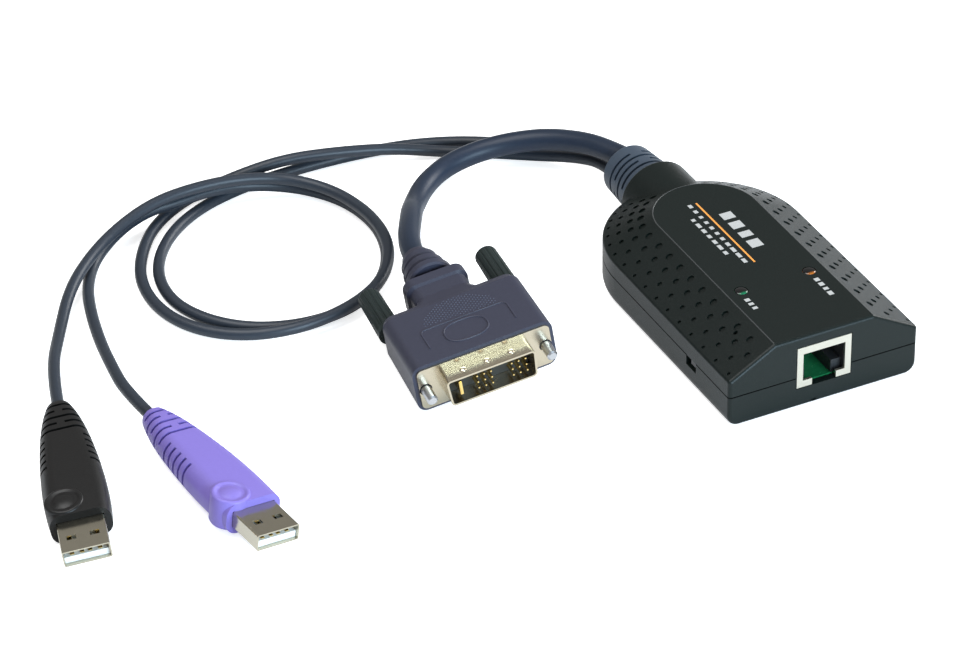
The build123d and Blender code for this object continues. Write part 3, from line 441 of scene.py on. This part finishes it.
marks_bar = marks.nodes.new("GeometryNodeMeshCube")
marks_short = marks.nodes.new("ShaderNodeCombineXYZ")
marks_short.inputs["X"].default_value = 1.0
marks_short.inputs["Z"].default_value = 1.0
marks_random = marks.nodes.new("FunctionNodeRandomValue")
marks_random.data_type = "FLOAT_VECTOR"
marks_random.inputs["Max"].default_value = (1, 1, 1)
marks_set = marks.nodes.new("GeometryNodeInstanceOnPoints")
marks_real = marks.nodes.new("GeometryNodeRealizeInstances")
marks_ink = marks.nodes.new("GeometryNodeSetMaterial")
link_all(marks, (
    (marks_in, "Count", marks_line, "Count"),
    (marks_in, "Pitch", marks_step, "Y"),
    (marks_step, 0, marks_line, "Offset"),
    (marks_in, "Width", marks_size, "X"),
    (marks_in, "Length", marks_size, "Y"),
    (marks_size, 0, marks_bar, "Size"),
    (marks_in, "Shortest", marks_short, "Y"),
    (marks_short, 0, marks_random, "Min"),
    (marks_in, "Seed", marks_random, "Seed"),
    (marks_line, "Mesh", marks_set, "Points"),
    (marks_bar, "Mesh", marks_set, "Instance"),
    (marks_random, "Value", marks_set, "Scale"),
    (marks_set, 0, marks_real, 0),
    (marks_real, 0, marks_ink, "Geometry"),
    (marks_in, "Ink", marks_ink, "Material"),
    (marks_ink, 0, marks_out, 0),
))
panel_height = wall_high.z
for name, x, y, count, pitch, length, width, shortest, ink in (
    ("stripe", -0.4, 6.0, 1, 1.0, 31.5, 0.5, 1.0, ink_orange),
    ("broad_bars", 4.0, -2.0, 4, 4.9, 3.7, 3.5, 0.7, ink_white),
    ("fine_bars", -2.5, -8.0, 11, 2.9, 2.3, 1.1, 0.4, ink_white),
    ("short_bars", -5.0, -2.6, 7, 2.9, 2.2, 1.1, 0.4, ink_white),
    ("link_bar", -10.7, -28.3, 3, 2.0, 1.5, 1.4, 0.6, ink_white),
    ("power_bar", 9.7, -31.2, 4, 2.3, 1.8, 1.4, 0.6, ink_white),
):
    print_mesh = mesh_from_tree(marks, {
        "Count": count, "Pitch": pitch * MM, "Length": length * MM, "Width": width * MM,
        "Shortest": shortest, "Seed": count, "Ink": ink,
    })
    print_mesh.transform(Matrix.Translation((x * MM, y * MM, panel_height)))
    printed = bpy.data.objects.new("print_" + name, print_mesh)
    bpy.context.scene.collection.objects.link(printed)
    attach(printed, "dongle")


# The screws that hold the covers, driven from below, and the rods of the thumbscrews:
# plated steel with faint turning marks.
def plated(name, colour, roughness, scale=900, depth=0.004 * MM, stretch=(1, 1, 1)):
    """plated metal: bright, with faint marks from the press or the lathe"""
    material, tree, shader = node_tree(name)
    noise = grain(tree, shader, scale, depth, 3.0, stretch)
    gloss = tree.nodes.new("ShaderNodeMapRange")
    gloss.inputs["To Min"].default_value = roughness * 0.7
    gloss.inputs["To Max"].default_value = roughness * 1.3
    link_all(tree, (
        (noise, "Fac", gloss, "Value"),
        (gloss, 0, shader, "Roughness"),
    ))
    shader.inputs["Base Color"].default_value = (*colour, 1)
    shader.inputs["Metallic"].default_value = 1.0
    return material


screw_steel = plated("screw_steel", (0.5, 0.5, 0.51), 0.3)
dress(screw_steel, "cover_screws", "left_thumb_rod", "right_thumb_rod")

# The strain relief: one soft moulding in blue grey, pinched by short slots, that holds the
# three cables where they leave the housing.
boot_rubber = moulded("boot_rubber", (0.04, 0.058, 0.084), 0.5, 2200, 0.015 * MM, 0.12, 0.4)
dress(boot_rubber, "strain_relief")

# Inside the housing: a green board with a chip, a transformer, a header and capacitors
# on it, seen only through the socket.
board_lacquer = moulded("board_lacquer", (0.01, 0.13, 0.045), 0.25, 900, 0.01 * MM, 0.25)
chip_black = moulded("chip_black", (0.02, 0.02, 0.022), 0.5)
header_cream = moulded("header_cream", (0.72, 0.7, 0.6), 0.5)
can_aluminium = plated("can_aluminium", (0.75, 0.75, 0.76), 0.25)
dress(board_lacquer, "circuit_board")
dress(chip_black, "main_chip", "transformer")
dress(header_cream, "cable_header")
dress(can_aluminium, "capacitors")

# The network socket: a nickel-plated shield folded from sheet, flush with the front face,
# round a black insert with eight gold springs.
socket_nickel = plated("socket_nickel", (0.56, 0.53, 0.45), 0.42, 1200, 0.006 * MM)
insert_black = moulded("insert_black", (0.012, 0.012, 0.013), 0.55)
gold = plated("gold", (0.83, 0.6, 0.22), 0.22)
dress(socket_nickel, "jack_shield", "switch_case")
dress(insert_black, "jack_insert")
dress(gold, "jack_contacts", "black_usb_contacts", "purple_usb_contacts")

# The slide switch behind the left wall: a dark moulded slider, with its tab in the slot
# between the two covers.
switch_grey = moulded("switch_grey", (0.035, 0.036, 0.038), 0.5)
dress(switch_grey, "switch_slider")


# Two light guides, clear mouldings that carry the lamps' light up, under small dark lenses
# that show a little green or orange low down.
def clear_guide(name, colour, glow):
    """tinted clear plastic that passes on a little light of its lamp"""
    material, tree, shader = node_tree(name)
    grain(tree, shader, 1500, 0.004 * MM)
    shader.inputs["Base Color"].default_value = (*colour, 1)
    shader.inputs["Roughness"].default_value = 0.08
    shader.inputs["Emission Color"].default_value = (*colour, 1)
    shader.inputs["Emission Strength"].default_value = glow
    return material


green_glow = (0.006, 0.15, 0.065)
orange_glow = (0.36, 0.11, 0.012)
dress(clear_guide("guide_green", green_glow, 0.25), "link_light_guide")
dress(clear_guide("guide_orange", orange_glow, 0.25), "power_light_guide")
lens_radius = 1.72 * MM
lens_rise = 0.42 * MM
lens_rings, lens_sectors = 8, 40
shine_start, shine_full, shine_glow = 0.45, 0.95, 0.2


def dark_lens(name, colour, middle):
    """smoked clear plastic, with the lamp's colour shining through its front edge"""
    material, tree, shader = node_tree(name)
    grain(tree, shader, 1500, 0.002 * MM)
    place = tree.nodes.new("ShaderNodeTexCoord")
    centre = tree.nodes.new("ShaderNodeMapping")
    apart = tree.nodes.new("ShaderNodeSeparateXYZ")
    shine = tree.nodes.new("ShaderNodeMapRange")
    tint = tree.nodes.new("ShaderNodeMixRGB")
    centre.inputs["Location"].default_value = (-middle[0], -middle[1], 0)
    shine.inputs["From Min"].default_value = -shine_start * lens_radius
    shine.inputs["From Max"].default_value = -shine_full * lens_radius
    tint.inputs[1].default_value = (0.002, 0.002, 0.002, 1)
    tint.inputs[2].default_value = (*colour, 1)
    link_all(tree, (
        (place, "Object", centre, "Vector"),
        (centre, 0, apart, 0),
        (apart, "Y", shine, "Value"),
        (shine, 0, tint, 0),
        (tint, 0, shader, "Base Color"),
        (tint, 0, shader, "Emission Color"),
    ))
    shader.inputs["Emission Strength"].default_value = shine_glow
    shader.inputs["Roughness"].default_value = 0.06
    return material


for name, guide, colour, slot in (
    ("link_lens", "link_light_guide", green_glow, "clear_green"),
    ("power_lens", "power_light_guide", orange_glow, "clear_orange"),
):
    guide_low, guide_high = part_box(guide)
    middle = ((guide_low.x + guide_high.x) / 2, (guide_low.y + guide_high.y) / 2)
    lens_bm = bmesh.new()
    rows = []
    for ring in range(1, lens_rings + 1):
        lean = math.radians(90) * ring / lens_rings
        rows.append([
            lens_bm.verts.new((
                middle[0] + lens_radius * math.sin(lean) * math.cos(math.tau * step / lens_sectors),
                middle[1] + lens_radius * math.sin(lean) * math.sin(math.tau * step / lens_sectors),
                guide_high.z + lens_rise * math.cos(lean),
            ))
            for step in range(lens_sectors)
        ])
    crown = lens_bm.verts.new((*middle, guide_high.z + lens_rise))
    for step in range(lens_sectors):
        following = (step + 1) % lens_sectors
        lens_bm.faces.new((crown, rows[0][step], rows[0][following]))
        for inner, outer in zip(rows, rows[1:]):
            lens_bm.faces.new((inner[step], outer[step], outer[following], inner[following]))
    lens_bm.faces.new(list(reversed(rows[-1])))
    bmesh.ops.recalc_face_normals(lens_bm, faces=lens_bm.faces)
    lens_mesh = bpy.data.meshes.new(name)
    lens_bm.to_mesh(lens_mesh)
    lens_bm.free()
    lens_mesh.polygons.foreach_set("use_smooth", [len(face.vertices) < 5 for face in lens_mesh.polygons])
    new_piece(name, lens_mesh, dark_lens(name, colour, middle), "dongle")

# The computer plugs: soft grips, one black and one purple, over folded steel shells with
# a white tongue and four gold contacts.
shell_steel = plated("shell_steel", (0.5, 0.46, 0.36), 0.2, 700, 0.004 * MM)
tongue_white = moulded("tongue_white", (0.74, 0.73, 0.69), 0.45)
black_grip = moulded("black_grip", (0.006, 0.0055, 0.0052), 0.4, 1800, 0.02 * MM, 0.2, 0.3)
purple_grip = moulded("purple_grip", (0.185, 0.138, 0.45), 0.46, 1800, 0.02 * MM, 0.06, 0.4)
dress(shell_steel, "black_usb_shell", "purple_usb_shell")
dress(tongue_white, "black_usb_tongue", "purple_usb_tongue")
dress(black_grip, "black_usb_grip")
dress(purple_grip, "purple_usb_grip")


def lying(place, yaw, pitch, roll):
    """where a plug lies: the point where its cable enters, in mm, and its turns in degrees"""
    return (
        Matrix.Translation([value * MM for value in place])
        @ Matrix.Rotation(math.radians(180 + yaw), 4, "Z")
        @ Matrix.Rotation(math.radians(pitch), 4, "X")
        @ Matrix.Rotation(math.radians(-roll), 4, "Y")
    )


# The finger rest of each computer plug, moulded with the grip: a round boss near its front
# left, with a raised rim, a shallow channel inside it and a low dome in the middle.
grip_top, grip_round, flat_half = 4.5 * MM, 4.0 * MM, 4.05 * MM
pad_along, pad_radius, pad_edge = 38.0 * MM, 5.2 * MM, 0.5 * MM
pad_depth, pad_proud, pad_rings = 0.9 * MM, 0.012 * MM, 8
rest_profile = (
    (0.0, 0.55), (0.9, 0.51), (1.8, 0.37), (2.5, 0.13), (2.9, -0.05), (3.2, -0.09), (3.6, 0.03),
    (3.95, 0.27), (4.3, 0.37), (4.65, 0.29), (4.9, 0.08), (5.0, -0.2), (5.0, -7.4), (4.7, -8.0),
)
rest_sectors = 48


def skin_height(side):
    """height of the grip's upper face at this distance from its middle"""
    past = min(grip_round, max(0.0, abs(side) - flat_half))
    return grip_top - grip_round + math.sqrt(grip_round ** 2 - past ** 2)


def level_height(side):
    """height of the grip's upper face along its middle"""
    return grip_top


def round_form(bm, side, along, profile, height_at):
    """closed form of rings about a point of the grip, from its crown out and down to its foot"""
    rings = [
        [
            bm.verts.new((x, y, height_at(x) + height)) for x, y, _, _ in
            arc_places(side, along, radius, 0, 360 - 360 / rest_sectors, rest_sectors - 1)
        ]
        for radius, height in profile[1:]
    ]
    crown = bm.verts.new((side, along, height_at(side) + profile[0][1]))
    for step in range(rest_sectors):
        following = (step + 1) % rest_sectors
        bm.faces.new((crown, rings[0][step], rings[0][following]))
        for inner, outer in zip(rings, rings[1:]):
            bm.faces.new((inner[step], outer[step], outer[following], inner[following]))
    bm.faces.new(list(reversed(rings[-1])))


def finger_rest(name, place, side, along, material):
    """boss of the finger rest, and a thin pad of the grip's own skin behind it"""
    rest_bm = bmesh.new()
    pad = [(pad_radius * step / pad_rings, pad_proud) for step in range(pad_rings + 1)]
    pad += [(pad_radius + pad_edge, -pad_proud), (pad_radius + pad_edge, -pad_depth)]
    round_form(rest_bm, 0, pad_along, pad, skin_height)
    boss = [(radius * MM, height * MM) for radius, height in rest_profile]
    round_form(rest_bm, side * MM, along * MM, boss, level_height)
    bmesh.ops.recalc_face_normals(rest_bm, faces=rest_bm.faces)
    rest_mesh = bpy.data.meshes.new(name)
    rest_bm.to_mesh(rest_mesh)
    rest_bm.free()
    rest_mesh.polygons.foreach_set("use_smooth", [True] * len(rest_mesh.polygons))
    rest_mesh.set_sharp_from_angle(angle=math.radians(50))
    rest_mesh.transform(place)
    new_piece(name, rest_mesh, material, "dongle")


black_plug_place = lying((-177.8, 32.1, 6.0), -15.5, -1.5, -8.0)
purple_plug_place = lying((-157.7, 18.6, 5.6), 7.6, -1.0, 6.5)
finger_rest("black_finger_rest", black_plug_place, 3.0, 42.6, black_grip)
finger_rest("purple_finger_rest", purple_plug_place, 3.9, 43.2, purple_grip)

# The video plug: a slate moulded hood, a dark insert with gold pins, and two dark fluted
# thumbscrew grips on steel rods.
hood_slate = moulded("hood_slate", (0.03, 0.031, 0.05), 0.44, 1600, 0.015 * MM, 0.1, 0.35)
video_steel = plated("video_steel", (0.56, 0.49, 0.37), 0.24, 700, 0.004 * MM)
insert_dark = moulded("insert_dark", (0.014, 0.013, 0.011), 0.5)
thumb_black = moulded("thumb_black", (0.011, 0.018, 0.017), 0.4, 1500, 0.015 * MM, 0.2, 0.3)
dress(hood_slate, "video_hood")
dress(video_steel, "video_shell")
dress(thumb_black, "left_thumb_grip", "right_thumb_grip")

# The face of the video plug: a dark moulded insert that fills the mouth, with a flat ground
# blade at one side, two blocks of nine pins and two columns left empty between them.
plug_place = lying((-71.58, 44.34, 12.3), -5.2, -2.5, -9.3)
mouth_half_width, mouth_half_height = 11.7 * MM, 3.55 * MM
mouth_taper, mouth_round = 0.5 * MM, 0.75 * MM
insert_rear, insert_face, pin_end = 47.95 * MM, 50.5 * MM, 54.9 * MM
pin_pitch, pin_radius, pin_tip_share, pin_corners = 1.905 * MM, 0.4 * MM, 0.55, 14
blade_side, blade_bevel = 8.4 * MM, 0.18 * MM
blade_half_width, blade_half_height = 0.4 * MM, 2.1 * MM
first_column, columns_in_block, second_column = 3.8 * MM, 3, -5.7 * MM


def mouth_outline():
    """rounded outline of the mouth, slightly narrower at its lower side"""
    places = []
    for across, up, start_turn in ((1, 1, 0), (-1, 1, 90), (-1, -1, 180), (1, -1, 270)):
        half = mouth_half_width - (mouth_taper if up < 0 else 0)
        places += [
            (x, y) for x, y, _, _ in arc_places(
                across * (half - mouth_round), up * (mouth_half_height - mouth_round),
                mouth_round, start_turn, start_turn + 90, 6,
            )
        ]
    return places


def pushed_out(bm, outline, rear, front):
    """closed form with this outline, from rear to front along the plug"""
    rear_ring = [bm.verts.new((x, rear, z)) for x, z in outline]
    front_ring = [bm.verts.new((x, front, z)) for x, z in outline]
    bm.faces.new(rear_ring)
    bm.faces.new(front_ring)
    for step in range(len(outline)):
        following = (step + 1) % len(outline)
        bm.faces.new((rear_ring[step], rear_ring[following], front_ring[following], front_ring[step]))


def plug_mesh(name, bm):
    """finished mesh, placed where the plug lies"""
    bmesh.ops.recalc_face_normals(bm, faces=bm.faces)
    mesh = bpy.data.meshes.new(name)
    bm.to_mesh(mesh)
    bm.free()
    mesh.transform(plug_place)
    return mesh


insert_bm = bmesh.new()
pushed_out(insert_bm, mouth_outline(), insert_rear, insert_face)
insert_mesh = plug_mesh("plug_insert", insert_bm)
video_insert = new_piece("plug_insert", insert_mesh, insert_dark, "dongle")
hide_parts("video_insert")

blade_bm = bmesh.new()
pushed_out(blade_bm, [
    (blade_side + across * blade_half_width, up * blade_half_height)
    for across, up in ((1, 1), (-1, 1), (-1, -1), (1, -1))
], insert_rear, pin_end)
bmesh.ops.bevel(
    blade_bm, geom=[edge for edge in blade_bm.edges if all(vert.co.y > insert_face for vert in edge.verts)],
    offset=blade_bevel, segments=2, affect="EDGES",
)
video_blade = new_piece("plug_blade", plug_mesh("plug_blade", blade_bm), gold, "dongle")
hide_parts("video_blade")

# The bosses of the plug's shell: three small round ones, pressed out of its upper side to
# grip the socket.
boss_along, boss_pitch, boss_height = 52.9 * MM, 6.6 * MM, 4.05 * MM
boss_radius, boss_rise = 0.95 * MM, 0.4 * MM
bosses_bm = bmesh.new()
for step in (-1, 0, 1):
    bmesh.ops.create_uvsphere(
        bosses_bm, u_segments=20, v_segments=10, radius=boss_radius,
        matrix=Matrix.Translation((step * boss_pitch, boss_along, boss_height))
        @ Matrix.Diagonal((1, 1, boss_rise / boss_radius, 1)),
    )
bosses = plug_mesh("shell_bosses", bosses_bm)
bosses.polygons.foreach_set("use_smooth", [True] * len(bosses.polygons))
new_piece("shell_bosses", bosses, video_steel, "dongle")

# The pins of the plug: two square blocks of three by three round gold rods, each with a
# blunt tapered tip.
pins = bpy.data.node_groups.new("plug_pins", "GeometryNodeTree")
tree_input(pins, "Columns", "NodeSocketInt", columns_in_block)
tree_input(pins, "Pitch", "NodeSocketFloat", pin_pitch)
tree_input(pins, "Radius", "NodeSocketFloat", pin_radius)
tree_input(pins, "Length", "NodeSocketFloat", pin_end - insert_rear)
tree_input(pins, "Start", "NodeSocketVector", (0, 0, 0))
tree_input(pins, "Metal", "NodeSocketMaterial", gold)
pins.interface.new_socket(name="Geometry", in_out="OUTPUT", socket_type="NodeSocketGeometry")
pins_in = pins.nodes.new("NodeGroupInput")
pins_out = pins.nodes.new("NodeGroupOutput")
pins_side = pins.nodes.new("ShaderNodeMath")
pins_side.operation = "MULTIPLY_ADD"
pins_side.inputs[1].default_value = 1.0
pins_side.inputs[2].default_value = -1.0
pins_wide = pins.nodes.new("ShaderNodeMath")
pins_wide.operation = "MULTIPLY"
pins_grid = pins.nodes.new("GeometryNodeMeshGrid")
pins_turn = pins.nodes.new("GeometryNodeTransform")
pins_turn.inputs["Rotation"].default_value = (math.radians(90), 0, 0)
pins_rod = pins.nodes.new("GeometryNodeMeshCone")
pins_rod.inputs["Vertices"].default_value = pin_corners
pins_tip = pins.nodes.new("ShaderNodeMath")
pins_tip.operation = "MULTIPLY"
pins_tip.inputs[1].default_value = pin_tip_share
pins_lay = pins.nodes.new("GeometryNodeTransform")
pins_lay.inputs["Rotation"].default_value = (math.radians(-90), 0, 0)
pins_set = pins.nodes.new("GeometryNodeInstanceOnPoints")
pins_real = pins.nodes.new("GeometryNodeRealizeInstances")
pins_metal = pins.nodes.new("GeometryNodeSetMaterial")
link_all(pins, (
    (pins_in, "Columns", pins_side, 0),
    (pins_side, 0, pins_wide, 0),
    (pins_in, "Pitch", pins_wide, 1),
    (pins_wide, 0, pins_grid, "Size X"),
    (pins_wide, 0, pins_grid, "Size Y"),
    (pins_in, "Columns", pins_grid, "Vertices X"),
    (pins_in, "Columns", pins_grid, "Vertices Y"),
    (pins_grid, "Mesh", pins_turn, "Geometry"),
    (pins_in, "Start", pins_turn, "Translation"),
    (pins_in, "Radius", pins_rod, "Radius Bottom"),
    (pins_in, "Radius", pins_tip, 0),
    (pins_tip, 0, pins_rod, "Radius Top"),
    (pins_in, "Length", pins_rod, "Depth"),
    (pins_rod, "Mesh", pins_lay, "Geometry"),
    (pins_turn, 0, pins_set, "Points"),
    (pins_lay, 0, pins_set, "Instance"),
    (pins_set, 0, pins_real, 0),
    (pins_real, 0, pins_metal, "Geometry"),
    (pins_in, "Metal", pins_metal, "Material"),
    (pins_metal, 0, pins_out, 0),
))
pins_bm = bmesh.new()
for column in (first_column, second_column):
    block = mesh_from_tree(pins, {"Start": (column - pin_pitch, insert_rear, 0)})
    pins_bm.from_mesh(block)
video_pins = new_piece("plug_pins", plug_mesh("plug_pins", pins_bm), gold, "dongle")
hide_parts("video_pins")

# Marks moulded into the hood's upper face: a half moon of fine pimples behind a bracket
# line, and an empty oval ring where the plug is held between finger and thumb.
face_rear, face_front = 27.5 * MM, 49.9 * MM
face_rear_height, face_front_height = 6.55 * MM, 7.2 * MM


def face_height(along):
    """height of the hood's upper face above the plug's axis"""
    share = (along - face_rear) / (face_front - face_rear)
    return face_rear_height + share * (face_front_height - face_rear_height)


def raised_line(name, places, radius, closed):
    """thin rounded ridge along places on the upper face of the hood"""
    line = [(side * MM, along * MM, face_height(along * MM)) for side, along in places]
    mesh = ridge_mesh(name, line, radius, closed)
    mesh.transform(plug_place)
    new_piece(name, mesh, hood_slate, "dongle")


oval_side, oval_along = 0.9, 41.8
oval_half_width, oval_half_length, oval_power, oval_steps = 5.8, 4.1, 0.8, 48
oval = []
for step in range(oval_steps):
    turn = math.tau * step / oval_steps
    across, forward = math.cos(turn), math.sin(turn)
    oval.append((
        oval_side + oval_half_width * math.copysign(abs(across) ** oval_power, across),
        oval_along + oval_half_length * math.copysign(abs(forward) ** oval_power, forward),
    ))
raised_line("hood_oval", oval, radius=0.27 * MM, closed=True)
bracket_half, bracket_along, bracket_end, bracket_round = 11.8, 36.6, 44.5, 1.6
bracket = [(-bracket_half, bracket_end)]
bracket += [
    (x, y) for x, y, _, _ in
    arc_places(-bracket_half + bracket_round, bracket_along + bracket_round, bracket_round, 180, 270, 8)
]
bracket += [
    (x, y) for x, y, _, _ in
    arc_places(bracket_half - bracket_round, bracket_along + bracket_round, bracket_round, 270, 360, 8)
]
bracket.append((bracket_half, bracket_end))
raised_line("hood_bracket", bracket, radius=0.22 * MM, closed=False)

pimples = bpy.data.node_groups.new("hood_pimples", "GeometryNodeTree")
tree_input(pimples, "Size", "NodeSocketFloat", 20 * MM)
tree_input(pimples, "Count", "NodeSocketInt", 22)
tree_input(pimples, "Reach", "NodeSocketFloat", 10 * MM)
tree_input(pimples, "Depth", "NodeSocketFloat", 0.8)
tree_input(pimples, "Radius", "NodeSocketFloat", 0.25 * MM)
tree_input(pimples, "Plastic", "NodeSocketMaterial", hood_slate)
pimples.interface.new_socket(name="Geometry", in_out="OUTPUT", socket_type="NodeSocketGeometry")
pimples_in = pimples.nodes.new("NodeGroupInput")
pimples_out = pimples.nodes.new("NodeGroupOutput")
pimples_grid = pimples.nodes.new("GeometryNodeMeshGrid")
pimples_turn = pimples.nodes.new("GeometryNodeTransform")
pimples_turn.inputs["Rotation"].default_value = (0, 0, math.radians(45))
pimples_place = pimples.nodes.new("GeometryNodeInputPosition")
pimples_far = pimples.nodes.new("ShaderNodeVectorMath")
pimples_far.operation = "LENGTH"
pimples_past = pimples.nodes.new("FunctionNodeCompare")
pimples_past.operation = "GREATER_THAN"
pimples_axes = pimples.nodes.new("ShaderNodeSeparateXYZ")
pimples_ahead = pimples.nodes.new("FunctionNodeCompare")
pimples_ahead.operation = "GREATER_THAN"
pimples_either = pimples.nodes.new("FunctionNodeBooleanMath")
pimples_either.operation = "OR"
pimples_cut = pimples.nodes.new("GeometryNodeDeleteGeometry")
pimples_scale = pimples.nodes.new("ShaderNodeCombineXYZ")
pimples_scale.inputs["X"].default_value = 1.0
pimples_scale.inputs["Z"].default_value = 1.0
pimples_press = pimples.nodes.new("GeometryNodeTransform")
pimples_ball = pimples.nodes.new("GeometryNodeMeshIcoSphere")
pimples_set = pimples.nodes.new("GeometryNodeInstanceOnPoints")
pimples_real = pimples.nodes.new("GeometryNodeRealizeInstances")
pimples_finish = pimples.nodes.new("GeometryNodeSetMaterial")
link_all(pimples, (
    (pimples_in, "Size", pimples_grid, "Size X"),
    (pimples_in, "Size", pimples_grid, "Size Y"),
    (pimples_in, "Count", pimples_grid, "Vertices X"),
    (pimples_in, "Count", pimples_grid, "Vertices Y"),
    (pimples_grid, "Mesh", pimples_turn, "Geometry"),
    (pimples_place, 0, pimples_far, 0),
    (pimples_far, "Value", pimples_past, "A"),
    (pimples_in, "Reach", pimples_past, "B"),
    (pimples_place, 0, pimples_axes, 0),
    (pimples_axes, "Y", pimples_ahead, "A"),
    (pimples_past, 0, pimples_either, 0),
    (pimples_ahead, 0, pimples_either, 1),
    (pimples_turn, 0, pimples_cut, "Geometry"),
    (pimples_either, 0, pimples_cut, "Selection"),
    (pimples_in, "Depth", pimples_scale, "Y"),
    (pimples_cut, 0, pimples_press, "Geometry"),
    (pimples_scale, 0, pimples_press, "Scale"),
    (pimples_in, "Radius", pimples_ball, "Radius"),
    (pimples_press, 0, pimples_set, "Points"),
    (pimples_ball, "Mesh", pimples_set, "Instance"),
    (pimples_set, 0, pimples_real, 0),
    (pimples_real, 0, pimples_finish, "Geometry"),
    (pimples_in, "Plastic", pimples_finish, "Material"),
    (pimples_finish, 0, pimples_out, 0),
))
# The pimples take a paler, glossier copy of the hood's slate: a painted highlight on each pimple.
pimple_highlight_slate = moulded("pimple_highlight_slate", (0.06, 0.068, 0.1), 0.4, 1600, 0.015 * MM, 0.1, 0.5)
moon_front, moon_reach, pimple_sunk = 35.8 * MM, 10.2 * MM, 0.06 * MM
moon = mesh_from_tree(pimples, {"Size": 2 * moon_reach, "Reach": moon_reach, "Plastic": pimple_highlight_slate})
face_slope = math.atan((face_front_height - face_rear_height) / (face_front - face_rear))
moon.transform(
    plug_place
    @ Matrix.Translation((0, moon_front, face_height(moon_front) - pimple_sunk))
    @ Matrix.Rotation(face_slope, 4, "X")
)
new_piece("hood_pimples", moon, pimple_highlight_slate, "dongle")
